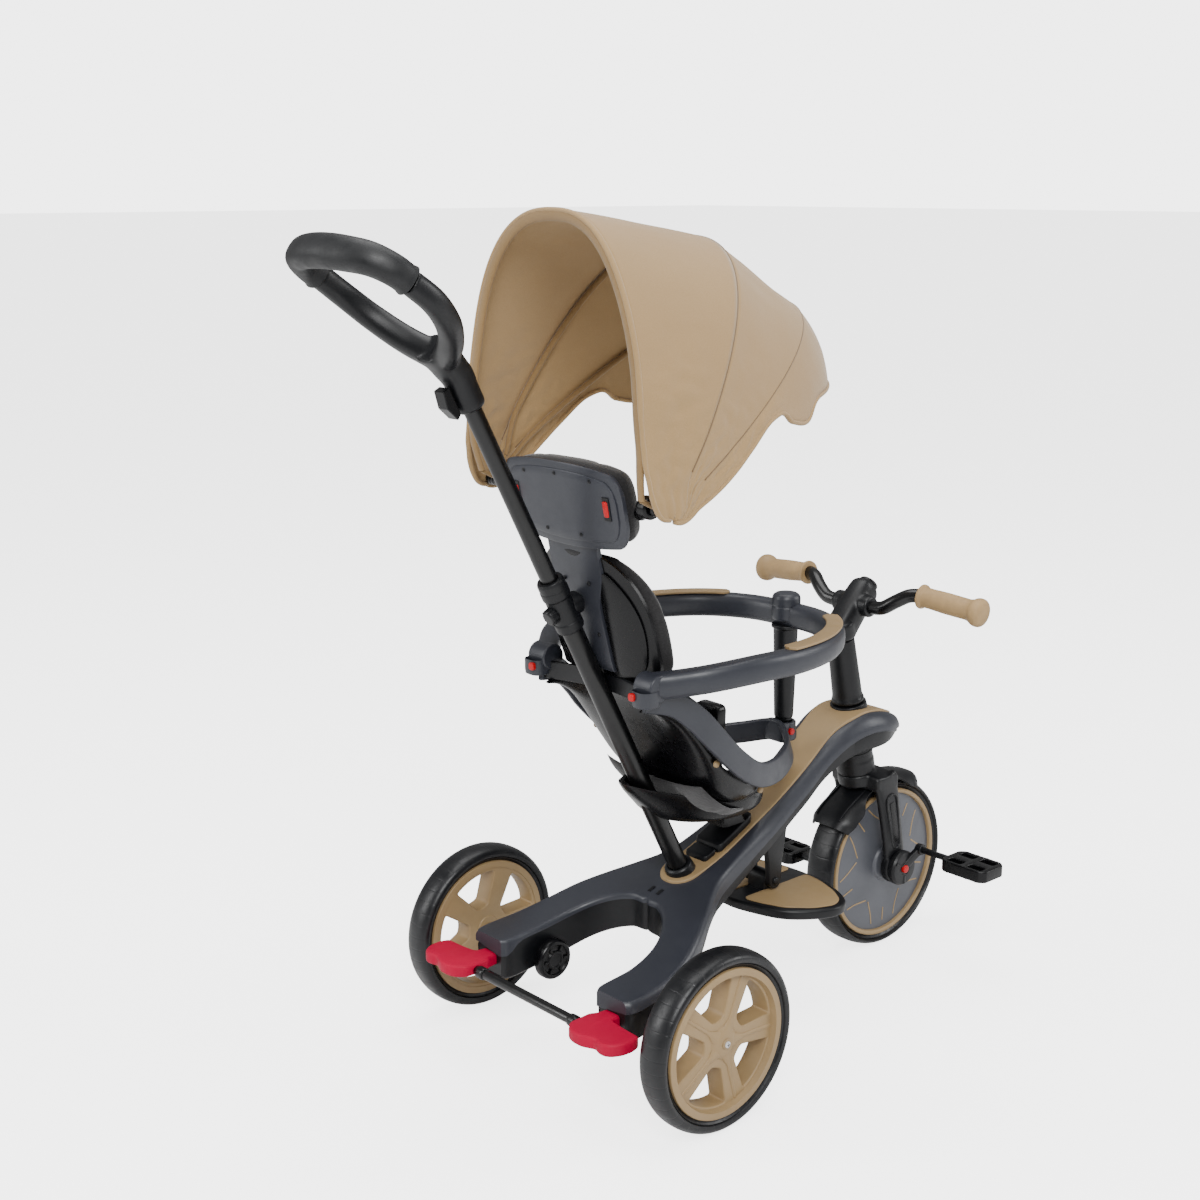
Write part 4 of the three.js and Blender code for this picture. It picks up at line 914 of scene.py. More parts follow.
def make_stem():
    neck = smooth_path([V(459, 0, 482), V(474, 0, 499), V(496, 0, 522), V(519, 0, 542)], 20)
    socket = turned([(0, 0), (20.5, 0), (21.5, 3), (21.2, 24), (0, 26)], 1.5, steer_at(472.6), STEER_UP, 48)

    def swell(s):
        end = math.sqrt(max(0.15, 1 - max(0, (s - 0.82) / 0.19) ** 2))
        return (1 - 0.08 * s) * end, (1 - 0.08 * s) * end

    head = sweep(oval(44, 38, 32, 2.8), neck, up=ACROSS, size=swell)
    collar = sweep(
        oval(30, 30, 24), [V(489, y, 516.5) for y in (-31, -29, 0, 29, 31)], up=UP,
        size=lambda s: (0.9, 0.9) if s in (0, 1) else (1, 1),
    )
    moulded("stem_moulding", joined(socket, head, collar), "steering", "stem", voxel=1.8, rounds=8)
    direction = V(6, 0, 5.5)
    cap = turned([(0, 0), (14, 0), (14, 5), (12, 7.4), (0, 7.8)], 1.6, V(514.5, 0, 537.8), direction, 48)
    piece("stem_cap", cap, "steering", GLOSS)


def grip_frame():
    foot = V(507.8, 100, 541.2)
    return foot, (V(516, 196, 532.6) - foot).normalized()


def make_handlebar():
    foot, direction = grip_frame()
    bend = smooth_path(
        [V(489, 33, 516), V(488.5, 50, 519), V(493, 68, 530), V(501.5, 84, 539.5), foot - direction * 3], 30,
    )
    half = [V(489, 12, 516)] + bend + [foot + direction * d for d in (30, 60, 88)]
    whole = [V(p.x, -p.y, p.z) for p in reversed(half)] + half
    piece("handlebar_tube", sweep(oval(19, 19, 28), whole), "steering", TUBE, "handlebar")
    profile = [(10.2, 0), (16.3, 0), (17, 2), (16.6, 4.5), (14, 7)]
    profile += [(13.8, 16), (14.6, 40), (14.4, 62)]
    profile += [(14.2, 74), (15.6, 80), (18.6, 84.5), (19.6, 89), (19, 94), (16, 97.4), (11, 98.4), (0, 98.6)]
    grip = turned(profile, 2.4, foot, direction, 64)
    piece("grip_left_rubber", grip, "steering", GRIP, "grip_left", angle=60)
    piece("grip_right_rubber", grip.mirrored(), "steering", GRIP, "grip_right", angle=60)


# ---------------------------------------------------------------- cranks and pedals

def pedal_point(sign):
    """The middle of a pedal."""
    offset = CRANK * -sign
    return V(WHEELBASE + offset.x, sign * PEDAL_Y, FRONT_WHEEL_RADIUS + offset.z)


def make_crank():
    shapes = []
    for sign in (1, -1):
        pin = pedal_point(sign)
        centre = FRONT_AXLE
        cover = [(0, 45.2), (24, 45.2), (25.5, 47), (25.5, 53), (23, 56.6), (10, 57.2), (8.5, 55.8),
                 (0, 55.8)]
        shapes.append(turned(cover, 0.8, centre, ACROSS * sign, 56))
        for t in around(3):
            reach = V(math.cos(t + 0.5), 0, math.sin(t + 0.5))
            path = [centre + reach * d + ACROSS * sign * 57 for d in (11, 22)]
            shapes.append(sweep(oval(5, 1.6, 12), path, up=ACROSS * sign))
        arm = [V(centre.x, sign * 53, centre.z), V((centre.x + pin.x) / 2, sign * 57, (centre.z + pin.z) / 2),
               V(pin.x, sign * 63, pin.z)]
        shapes.append(sweep(slab(13, 8, 2.5), smooth_path(arm, 14), up=V(0, sign, 0)))
        shapes.append(rod(8, V(pin.x, sign * 58, pin.z), V(pin.x, sign * 68.5, pin.z), 32, 1.5))
        shapes.append(rod(4.6, V(pin.x, sign * 62, pin.z), V(pin.x, sign * 115, pin.z), 24, 0.8))
    piece("crank_set", joined(*shapes), "crankset", BLACK, "crank")
    button = [(0, 0), (5.8, 0), (5.8, 4.2), (4.6, 5), (0, 5)]
    piece("clutch_knob", turned(button, 0.7, V(WHEELBASE, -55, FRONT_WHEEL_RADIUS), -ACROSS, 32), "clutch",
          RED, "clutch_button")


def make_pedals():
    outline = [(-27, -30), (-19, -38), (19, -38), (27, -30), (27, 30), (19, 38), (-19, 38), (-27, 30)]
    outline = softened(outline, 3, closed=True)
    holes = []
    for x in (-14.5, 14.5):
        for y in (-17, 17):
            window = [(x - 6.5, y - 12), (x + 6.5, y - 12), (x + 6.5, y + 12), (x - 6.5, y + 12)]
            holes.append(softened(window, 3, closed=True))
    for side, sign in SIDES:
        centre = pedal_point(sign)
        frame_plate = flat_piece(outline, 17, 2, centre, holes=holes)
        barrel = rod(8, centre - ACROSS * 36, centre + ACROSS * 36, 28, 1)
        studs = []
        for x in (-24.4, 24.4):
            for y in (-24, -8, 8, 24):
                for flip in (-1, 1):
                    start = centre + V(x, y, flip * 7)
                    studs.append(rod(1.4, start, start + UP * flip * 2, 10, 0.4))
        piece(f"pedal_{side}_moulding", joined(frame_plate, barrel, *studs), f"{side}_pedal", GLOSS,
              f"pedal_{side}")


# ---------------------------------------------------------------- frame

FRAME_TOP = profile_of(
    [(-90, 148), (-40, 152), (0, 157), (40, 168), (80, 184), (110, 195), (148, 208), (201, 224), (256, 250),
     (311, 278), (369, 314), (410, 344), (440, 360), (470, 368), (500, 367), (530, 359), (560, 345),
     (590, 318)],
)

# Each row: inner edge x and y, outer edge x and y, and the depth of the side walls.
FRAME_STATIONS = [
    (-70, 91, -70, 143, 50), (-62, 86, -62, 148, 54), (-10, 84, -8, 145, 55), (34, 76, 40, 133, 54),
    (60, 64, 76, 118, 52), (82, 44, 112, 97, 50), (94, 22, 146, 75, 48), (97, 0, 172, 61, 47),
    (130, 0, 200, 53, 47), (210, 0, 245, 48, 47), (270, 0, 285, 45, 47), (330, 0, 330, 42, 46),
    (360, 0, 360, 41.5, 46), (390, 0, 390, 41, 46), (440, 0, 440, 48, 50), (480, 0, 480, 53, 52),
    (515, 0, 515, 52, 46), (546, 0, 546, 40, 31), (566, 0, 566, 25, 21), (576, 0, 576, 8, 16),
]
SLATE_BAND = 26
REAR_BAND = 15


def frame_rows():
    """The frame stations with smooth rows put between them."""
    first = dense([V(a, b, e) for a, b, _, _, e in FRAME_STATIONS], per_span=6)
    second = dense([V(c, d, 0) for _, _, c, d, _ in FRAME_STATIONS], per_span=6)
    return [(p.x, max(p.y, 0.03), q.x, q.y, p.z) for p, q in zip(first, second)]


def frame_spot(row):
    """The width of the frame at a row, and a function from (offset outward, drop) to a point there."""
    inner_x, inner_y, outer_x, outer_y, _ = row
    span = math.hypot(outer_x - inner_x, outer_y - inner_y)
    meeting = ease(inner_y, 0, 10)

    def spot(offset, drop):
        t = offset / span
        x = inner_x + (outer_x - inner_x) * t
        y = inner_y + (outer_y - inner_y) * t * (meeting if offset < 5.5 else 1)
        return V(x, y, FRAME_TOP(x) - drop)

    return span, spot


def lid_ring(row):
    """The slate upper shell: a flat top, a rounded shoulder and a band down the outer side."""
    span, spot = frame_spot(row)
    rim = min(8 + 10 * ease(row[0], 140, 300), span * 0.35)
    soft = 1 - ease(row[0], 97, 122)
    band = min(REAR_BAND + (SLATE_BAND - REAR_BAND) * ease(row[2], 0, 160), row[4] * 0.62)
    drop = min(rim / 18, (band - 2) / 18.6)
    inner = 7 + 14 * (1 - ease(row[0], -66, -40))
    side = [
        (0, inner), (0, 4.5), (0.5 * soft, 2.6), (1.8 * soft, 0.8), (4 * soft, 0), (4 * soft + 2, 0),
        (span - rim, 0), (span - rim * 0.72, 1.0 * drop), (span - rim * 0.46, 3.6 * drop),
        (span - rim * 0.25, 8.2 * drop), (span - rim * 0.08, 13.6 * drop), (span, 18.6 * drop),
        (span, band - 1), (span - 1.2, band), (span - 5, band), (4 * soft, inner + 0.8),
    ]
    return [spot(a, b) for a, b in side]


def core_ring(row):
    """The black lower shell, set in a little below the slate one."""
    span, spot = frame_spot(row)
    soft = 1 - ease(row[0], 97, 122)
    depth = row[4]
    side = [(2.4 * soft, 5), (2.4 * soft, 12), (2.8 * soft, depth - 3), (5.4 * soft, depth),
            (span - 9.5, depth), (span - 6, depth - 3), (span - 3.6, 20), (span - 9, 9), (span * 0.5, 5)]
    return [spot(a, b) for a, b in side]


def make_frame():
    rows = frame_rows()
    lid = loft([lid_ring(row) for row in rows])
    rear = rows[0]
    rows[0] = (rear[0] + 2.5, rear[1], rear[2] + 2.5, rear[3], rear[4])
    core = loft([core_ring(row) for row in rows]).painted(1)
    shapes = [lid, lid.mirrored(), core, core.mirrored()]
    for sign in (1, -1):
        bar = [V(x, sign * 7.5, FRAME_TOP(x) + 0.2) for x in steps(108, 118, 4)]
        shapes.append(sweep(slab(5, 1.2, 0.5), bar, up=UP).painted(1))
    piece("frame_moulding", joined(*shapes), "base", [SLATE, BLACK], "frame_shell", angle=38,
          bevel=0.6)


def inlay_half_width(x):
    tip, nose = 132, 560
    rear = math.sqrt(max(0, 1 - (1 - min(1, (x - tip) / 28)) ** 2))
    front = math.sqrt(max(0, 1 - (1 - min(1, (nose - x) / 60)) ** 2))
    return 0.6 + (28 + 8 * ease(x, 410, 465)) * rear * front


def make_inlay():
    rows = [132, 132.6, 134, 136, 139, 143, 148, 154, 160] + steps(168, 500, 44)
    rows += [508, 518, 528, 538, 546, 552, 556, 559, 560]
    rings = []
    for x in rows:
        w = inlay_half_width(x)
        top = FRAME_TOP(x)
        edge = min(1.6, w * 0.4)
        section = [(-w, -1), (w, -1), (w, 1.4), (w - edge * 0.3, 2.1), (w - edge, 2.5)]
        section += [(a, 2.5 + 0.5 * (1 - (a / w) ** 2)) for a in steps(w - edge - 1, edge + 1 - w, 10)]
        section += [(edge - w, 2.5), (edge * 0.3 - w, 2.1), (-w, 1.4)]
        rings.append([V(x, a, top + b) for a, b in section])
    piece("frame_spine_inlay", loft(rings), "base", TAN, "frame_inlay", angle=50)
    foot = [(13.4, -16), (20, -16), (20.5, -8), (18.4, 8), (15.4, 10), (13.4, 10), (13.4, -16)]
    piece("push_tube_foot_collar", turned(foot, 1.2, PUSH_FOOT, PUSH_UP, 48), "base", BLACK)


# ---------------------------------------------------------------- parking brake and footrest

def make_brake():
    bar = rod(6.2, BRAKE_BAR - ACROSS * 100, BRAKE_BAR + ACROSS * 100)
    knuckle = [(0, -3), (7.4, -3), (8, 0), (8, 8), (6.5, 12), (0, 12)]
    knuckles = []
    for sign in (1, -1):
        base = BRAKE_BAR + ACROSS * sign * 84
        knuckles.append(turned(knuckle, 1, base, ACROSS * sign, 32))
    piece("brake_cross_bar", joined(bar, *knuckles), "parking_brake", TUBE, "brake_bar")
    outline = [(-80, 102), (-50, 106), (-50, 126), (-80, 131), (-83, 156), (-84, 181), (-98, 185),
               (-112, 184), (-124, 178), (-130, 170), (-130, 160), (-126, 151), (-130, 143), (-134, 134),
               (-134, 120), (-131, 110), (-120, 99), (-88, 97)]
    left = flat_piece(softened(outline, 5, closed=True), 16, 4, V(0, 0, BRAKE_BAR.z + 2))
    for side, pedal in (("left", left), ("right", left.mirrored())):
        piece(f"brake_pedal_{side}_moulding", pedal, "parking_brake", CRIMSON, f"brake_pedal_{side}")


def make_footrest():
    hinge = FOOTREST_HINGE
    outline = [(250, 0), (256, 36), (272, 78), (306, 108), (336, 119), (358, 112), (378, 84), (391, 42),
               (395, 0)]
    outline += [(x, -y) for x, y in reversed(outline[1:-1])]
    path = smooth_path([V(x, y, 0) for x, y in outline], 96, closed=True)
    plate = flat_piece([(p.x, p.y) for p in path], 14, 4, V(0, 0, 141))
    knuckle = rod(11, hinge - ACROSS * 17, hinge + ACROSS * 17, 40, 1.5)
    root = pillow_block(V(301, -16, 143), V(323, 16, 163), 2)
    pin = rod(4, hinge - ACROSS * 29, hinge + ACROSS * 29, 24, 0.6)
    piece("footrest_tray", joined(plate, knuckle, root, pin.painted(1)), "footrest", [BLACK, STEEL],
          "footrest_plate")
    inner = [(261, 14), (266, 38), (279, 73), (308, 101), (336, 112), (354, 105), (371, 80), (384, 44),
             (388, 14)]
    for side, sign in SIDES:
        outline = softened([(x, sign * y) for x, y in inner], 10, closed=True)
        mat = flat_piece(outline, 2.6, 0.9, V(0, 0, 148.2))
        piece(f"footrest_mat_{side}", mat, "footrest", TAN)
    make_footrest_hanger(hinge)


def make_footrest_hanger(hinge):
    cheek = [(hinge.x + 11 * math.cos(a), hinge.z + 11 * math.sin(a))
             for a in steps(math.pi, 2 * math.pi, 14)]
    cheek += [(325, 188), (334, FRAME_TOP(330) - 44), (292, FRAME_TOP(292) - 44), (299, 188)]
    cap = [(0, 26), (5.6, 26), (5.6, 28), (4, 29.4), (0, 29.6)]
    shapes = []
    for sign in (1, -1):
        shapes.append(flat_piece(softened(cheek, 3, closed=True), 9, 1.4, V(0, sign * 22, 0), UP))
        shapes.append(turned(cap, 0.6, hinge, ACROSS * sign, 28))
    saddle = [[V(x, a, FRAME_TOP(x) - 48 + b) for a, b in slab(56, 9, 3)] for x in steps(284, 334, 8)]
    piece("footrest_hanger", joined(*shapes, loft(saddle)), "base", BLACK, "footrest_bracket",
          bevel=0.5)


# ---------------------------------------------------------------- seat

RIM_POINTS = [V(4, 96, 494), V(40, 108, 484), V(70, 116, 460), V(95, 119, 434), V(138, 117, 394),
              V(186, 108, 364), V(256, 80, 352), V(312, 44, 357), V(338, 0, 366)]
RIM_COUNT = 400
RIM_SPACED = smooth_path(both_sides(RIM_POINTS), RIM_COUNT)
SPINE_COUNT = 240
BUCKET_SPINE = smooth_path(
    [V(256, 0, 320), V(205, 0, 310), V(158, 0, 316), V(124, 0, 340), V(102, 0, 378), V(76, 0, 426),
     V(54, 0, 466), V(32, 0, 498)],
    SPINE_COUNT,
)


def between(points, place_along):
    """The point at a fractional place along evenly spaced points."""
    low = min(int(place_along), len(points) - 2)
    return points[low].lerp(points[low + 1], place_along - low)


def bucket_spot(t, u, lift=0.0):
    """A point of the bucket: t from its front lip to its top, u across from -1 to 1, lift above its face."""
    low = between(BUCKET_SPINE, t * SPINE_COUNT)
    rim = between(RIM_SPACED, RIM_COUNT * 0.36 * (1 - ease(t, -0.1, 1)))
    high = V(rim.x, max(rim.y - 13, 40), rim.z - 18)
    climb = abs(u) ** 2.6
    spot = V(low.x + (high.x - low.x) * climb, high.y * math.sin(u * math.pi / 2),
             low.z + (high.z - low.z) * climb)
    if lift:
        a = bucket_spot(min(1, t + 0.02), u) - bucket_spot(max(0, t - 0.02), u)
        b = bucket_spot(t, min(1, u + 0.02)) - bucket_spot(t, max(-1, u - 0.02))
        spot += b.cross(a).normalized() * lift * -1
    return spot


def make_seat():
    band = sweep(slab(7.5, 32, 3), smooth_path(both_sides(RIM_POINTS), 120), up=V(-0.35, 0, 1))
    socket = [(12.4, 0), (17, 0), (18.2, 2), (18.2, 10), (17, 12), (17, 24), (16, 25.5), (12.4, 25.5),
              (12.4, 0)]
    shapes = [band, turned(socket, 0.8, V(GUARD_POST_X, 0, 351.5), UP, 56),
              pillow_block(V(329, -18, 352), V(345, 18, 378), 3)]
    for sign in (1, -1):
        centre, half = V(1, sign * 98.5, 497), V(15, 14.5, 10)
        shapes.append(pillow_block(centre - half, centre + half, 6))
    piece("seat_rim_band", joined(*shapes), "base", SLATE, "seat_rim")

    grid = [[bucket_spot(t, u) for u in steps(-1, 1, 48)] for t in steps(0, 1, 48)]
    lip = sweep(oval(6, 6, 12), [p + UP * 0.5 for p in grid[0]], up=UP)
    rivet = [(0, -2), (4.4, -2), (4.4, 0.8), (3, 1.9), (0, 2.1)]
    rivets = []
    for sign in (1, -1):
        for t in (0.18, 0.5):
            spot = bucket_spot(t, sign * 0.93) + V(0, sign * 4.6, 0)
            rivets.append(turned(rivet, 0.6, spot, ACROSS * sign, 20).painted(1))
    piece("seat_bucket", joined(shell(grid, 4), lip, *rivets), "base", [GLOSS, TAN], "seat_pan",
          angle=50)


def bowl_ring(lift, size, inset=0.0):
    """A ring of the seat base, raised and drawn out to a point at the rear."""
    ring = []
    for a in around(72):
        c, d = math.cos(a), math.sin(a)
        tip = max(0, -c) ** 9 * 26 * ease(lift, 10, 36) * (1 - inset / 8)
        x = 190 + (96 * size - inset) * c - 0.35 * lift * abs(c) - tip
        ring.append(V(x, (82 * size - inset) * d, 292 + lift * (1 + 0.004 * (190 - x)) + tip * 0.25))
    return ring


def frame_block(low, high, count, width, height, corner, lift):
    """A block that follows the top of the frame, with slightly smaller ends."""
    rings = []
    for x in steps(low, high, count):
        edge = 1 if low < x < high else 0.86
        rings.append([V(x, a * edge, FRAME_TOP(x) + lift + b * edge) for a, b in slab(width, height, corner)])
    return loft(rings)


def make_seat_base():
    outside = ((0, 0.5), (0.2, 0.6), (1.2, 0.7), (3.4, 0.79), (6.5, 0.86), (11, 0.915), (16, 0.948),
               (22, 0.972), (29, 0.988), (34, 0.998), (36, 0.996))
    inside = ((36.2, 1.0), (34, 0.99), (29, 0.985), (22, 0.97), (16, 0.94), (11.5, 0.86), (10.5, 0.7),
              (10.5, 0.3))
    rings = [bowl_ring(lift, size) for lift, size in outside]
    rings += [bowl_ring(lift, size, 3.4) for lift, size in inside]
    post = []
    for z, grow in ((262, 1.0), (272, 0.9), (284, 0.95), (295, 1.15)):
        post.append([V(236 + a * grow - (z - 262) * 0.2, b * grow, z) for a, b in slab(44, 46, 8)])
    foot = frame_block(206, 268, 16, 46, 12, 3, 8).painted(1)
    catch = frame_block(184, 204, 8, 38, 8, 2.5, 6).painted(1)
    whole = joined(loft(rings), loft(post), foot, catch)
    piece("seat_base_bowl", whole, "base", [GLOSS, BLACK], "seat_base", angle=45)


PAD_CELLS = 44
PAD_CORNER = 0.10


def crowned(spot, s_range, t_range, low, high, seams, power=5):
    """A stuffed pad over a surface: flat under, crowned above, rolled edges, with sewn channels across it."""
    top, under = [], []
    turns = [math.sin((2 * k / PAD_CELLS - 1) * math.pi / 2) for k in range(PAD_CELLS + 1)]
    for a in turns:
        for b in turns:
            round_a = a * math.sqrt(1 - PAD_CORNER * b ** 4)
            round_b = b * math.sqrt(1 - PAD_CORNER * a ** 4)
            s = s_range[0] + (s_range[1] - s_range[0]) * (round_a + 1) / 2
            t = t_range[0] + (t_range[1] - t_range[0]) * (round_b + 1) / 2
            plump = (max(0, 1 - abs(a) ** power) * max(0, 1 - abs(b) ** power)) ** 0.5
            crown = 0.8 + 0.2 * (1 - a * a) * (1 - b * b)
            dent = sum(math.exp(-((line - (a if axis == "a" else b)) / 0.035) ** 2) for axis, line in seams)
            wrinkle = noise.noise(Vector((a * 3.1, b * 3.3, high))) * 0.05
            height = (high - low) * plump * (crown + wrinkle) * (1 - 0.34 * min(1, dent))
            floor = low + (high - low) * 0.28 * (1 - plump)
            top.append(spot(s, t, floor + height))
            under.append(spot(s, t, floor))
    shift = len(top)
    faces = []
    for a, b, c, d in grid_cells(PAD_CELLS + 1, PAD_CELLS + 1):
        faces += [(a, b, d, c), (shift + a, shift + c, shift + d, shift + b)]
    return Shape(top + under, faces)


def cushion(name, pad, body, replaces):
    thing = piece(name, pad, body, KNIT, replaces, angle=180, subdivide=1)


def make_seat_cushion():
    def spot(t, u, lift):
        return bucket_spot(min(1, max(0, t)), u, lift)

    pad = crowned(spot, (0.05, 0.5), (-0.62, 0.62), 5.5, 17, [("b", -0.42), ("b", 0.42), ("a", 0.25)])
    cushion("seat_cushion_pad", pad, "base", "seat_cushion")


# ---------------------------------------------------------------- back rest

BACK_FOOT_Z = 528
BACK_LEAN = 0.28
BACK_HALF_WIDTH = 92


def back_x(z):
    return 10 - BACK_LEAN * (z - BACK_FOOT_Z)


def back_spot(y, z, depth):
    """A point of the back rest, which bows forward low down to clear the push tube."""
    x = back_x(z) + 0.0024 * y * y
    tube_front = PUSH_FOOT.x + PUSH_UP.x / PUSH_UP.z * (z - PUSH_FOOT.z) + 17
    return V(x + max(0, tube_front - back_x(z)) * math.exp(-(y / 34) ** 2) + depth, y, z)


def back_half_width(z):
    """Half the width of the back rest at a height: rounded off at its top, drawn in a little at its foot."""
    t = (z - BACK_FOOT_Z) / 136
    return BACK_HALF_WIDTH * math.sqrt(
        max(0.02, 1 - max(0, t - 0.15) ** 3.2 / 0.68)
    ) - 8 * ease(-z, -530, -500)


def back_lobe(sign):
    """One of the two raised panels behind the back shell."""
    rows = []
    for z in steps(512, 640, 30):
        w = back_half_width(z)
        s = math.sqrt(max(0.0, 1 - ((z - 570) / 71) ** 2))
        row = []
        for u in steps(0, 1, 12):
            y = sign * (34 + (w - 44) * u * (0.35 + 0.65 * s))
            row.append(back_spot(y, z, -3.2 * math.sin(math.pi * u) ** 0.6 * s - 0.4))
        rows.append(row)
    return shell(rows, 2.4)


def make_back_shell():
    heights = [500, 500.6, 502] + steps(508, 640, 32) + [645, 650, 655, 659, 662, 664]
    rings = []
    for k, z in enumerate(heights):
        w = back_half_width(z)
        half = (5 if 0 < k < len(heights) - 1 else 3.4) / 2
        ys = steps(-w, w, 30)
        rings.append(
            [back_spot(y, z, 2.5 - half) for y in ys] + [back_spot(y, z, 2.5 + half) for y in reversed(ys)]
        )
    whole = joined(loft(rings), back_lobe(1), back_lobe(-1))
    piece("back_wings", whole, "base", GLOSS, "seat_back_shell", bevel=0.8)


def make_back_spine():
    """The upright behind the back shell, which passes into the slide of the head rest."""
    slope = HEAD_UP.x / HEAD_UP.z
    rings = []
    for z in [512, 512.6, 514] + steps(520, 736, 44) + [740, 741.4, 742]:
        x = HEAD_FOOT.x + 5.6 + slope * (z - HEAD_FOOT.z)
        mix = ease(z, 590, 640)
        w = 30 + 14 * mix - 8 * ease(z, 730, 742)
        half = (6 if 514 <= z <= 740 else 4.6) / 2
        front = []
        for y in steps(-w, w, 16):
            front.append(back_spot(y, z, -4.2).lerp(V(x + HEAD_BEND * y * y, y, z), mix))
        rings.append(
            [p + ALONG * (3 - half) for p in front] + [p + ALONG * (3 + half) for p in reversed(front)]
        )
    marks = []
    for y, z in ((-22, 625), (22, 625), (-20, 560), (20, 560), (0, 600)):
        at = back_spot(y, z, -4.6) if z < 600 else V(back_x(z) - 4, y, z)
        marks.append(screw(at, V(-1, 0, -0.25), 2.6).painted(1))
    band = [V(5 + 21 * (1 - (y / 96) ** 2), y, 493) for y in steps(-94, 94, 40)]
    collar = sweep(slab(5, 24, 2), band, up=V(-0.2, 0, 1)).painted(1)
    piece("back_spine", joined(loft(rings), *marks, collar), "base", [SLATE, BLACK],
          bevel=0.6)


def make_back():
    make_back_shell()
    make_back_spine()

    def spot(s, t, lift):
        z = 512 + 149 * s
        return back_spot(t * (back_half_width(min(z, 655)) + 6), z, lift)

    pad = crowned(spot, (0, 1), (-1, 1), 8, 33, [("b", -0.45), ("b", 0.45), ("a", 0.1)], power=6)
    cushion("back_cushion_pad", pad, "base", "back_cushion")


def make_back_bracket():
    """The clamp that holds the back rest to the push tube, with its ribbed knob."""
    low = PUSH_FOOT + PUSH_UP * 400
    clamp = [(13.6, 0), (16.6, 0), (17.4, 2), (17.4, 12), (16, 14), (16, 46), (17.4, 48), (17.4, 58),
             (16.6, 60), (13.6, 60), (13.6, 0)]
    shapes = [turned(clamp, 1, low, PUSH_UP, 56)]
    middle = PUSH_FOOT + PUSH_UP * 430
    shapes.append(rod(14, V(middle.x + 9, 0, middle.z), V(back_x(middle.z + 14) - 6, 0, middle.z + 4), 40, 2))
    side = V(PUSH_UP.z, 0, -PUSH_UP.x)
    knob = middle - side * 14.5
    shapes.append(turned([(0, -2), (9, -2), (10, 1), (10, 8), (8.4, 10), (0, 10)], 1.5, knob, -side, 40))
    for t in around(10):
        reach = ACROSS * math.cos(t) + PUSH_UP * math.sin(t)
        shapes.append(rod(1.3, knob + reach * 9.8, knob + reach * 9.8 - side * 8.4, 12, 0.6))
    piece("back_bracket_clamp", joined(*shapes), "base", BLACK, "back_bracket")


def make_buckle():
    path = smooth_path([V(222, 0, 318), V(216, 0, 350), V(210, 0, 396)], 24)
    strap = sweep(slab(28, 2.4, 0.8), path, up=ALONG).painted(1)
    levels = ((388, 28, 11), (389.5, 34, 14), (393, 40, 17), (406, 41, 18.5), (422, 42, 19), (427, 39, 17),
              (429, 33, 13))
    body = loft([[V(209 + a, b, z) for a, b in slab(d, w, 5)] for z, w, d in levels])
    button = [(0, -2), (9.5, -2), (9.5, 0.8), (8, 1.8), (0, 2)]
    press = turned(button, 0.6, V(218.6, 0, 409), ALONG, 32).painted(2)
    piece("harness_crotch_buckle", joined(body, strap, press), "base", [GLOSS, STRAP, RED], "harness_buckle")


# ---------------------------------------------------------------- guard ring

GUARD_POINTS = [
    GUARD_HINGE + ACROSS * 96, V(32, 114, 512), V(62, 140, 518), V(118, 162, GUARD_HEIGHT),
    V(190, 166, GUARD_HEIGHT), V(255, 152, GUARD_HEIGHT), V(312, 116, GUARD_HEIGHT), V(345, 62, GUARD_HEIGHT),
    V(352, 0, GUARD_HEIGHT),
]


def make_guard():
    path = smooth_path(both_sides(GUARD_POINTS), 150)
    knob = [(0, 0), (18, 0), (19, 3), (19, 17), (18.4, 18), (18.4, 19.4), (19, 20.4), (19, 29), (17.6, 33),
            (14, 35.6), (0, 36.6)]
    shapes = [sweep(oval(28, 33, 28, 2.8), path), turned(knob, 1, V(GUARD_POST_X, 0, 518), UP, 56)]
    ends = [(0, 81), (15.4, 81), (16.6, 83), (16.6, 110), (15.4, 112), (0, 112)]
    shapes += [turned(ends, 1.5, GUARD_HINGE, ACROSS * sign, 48) for sign in (1, -1)]
    piece("guard_ring_moulding", joined(*shapes), "guard", SLATE, "guard_ring")
    run = [p + UP * 17.6 for p in path if p.y < -88 and p.x > 164]
    right = sweep(slab(21, 3.4, 1.4), run, size=lambda s: (1 - 0.7 * ease(abs(2 * s - 1), 0.94, 1), 1))
    for side, pad in (("right", right), ("left", right.mirrored())):
        piece(f"guard_pad_{side}_soft", pad, "guard", TAN, f"guard_pad_{side}")
    post = [(0, 2), (9, 2), (11.6, 6), (11.6, 8.5), (13, 11), (14.5, 60), (15.4, 100), (16.4, 132),
            (19.2, 134), (19.2, 138), (0, 138)]
    piece("guard_post_sleeve", turned(post, 1.2, V(GUARD_POST_X, 0, 373), UP, 56), "guard", BLACK,
          "guard_post")


# ---------------------------------------------------------------- head rest

HEAD_HALF_WIDTH = 103


def head_spot(y, up, depth):
    """A point of the head rest, which curves forward toward its sides."""
    return HEAD_FOOT + HEAD_UP * up + HEAD_FORWARD * (depth + HEAD_BEND * y * y) + V(0, y, 0)


def head_span(y, margin):
    """The lower and upper edge of the head rest across its width, with rounded ends."""
    t = min(1, abs(y) / (HEAD_HALF_WIDTH + margin))
    arch = math.sqrt(max(0, 1 - max(0, (t - 0.84) / 0.16) ** 2))
    low = 2 + 8 * t ** 2 + 26 * (1 - arch) - margin
    high = 106 - 12 * t ** 2.4 - 24 * (1 - arch) + margin
    return low, high


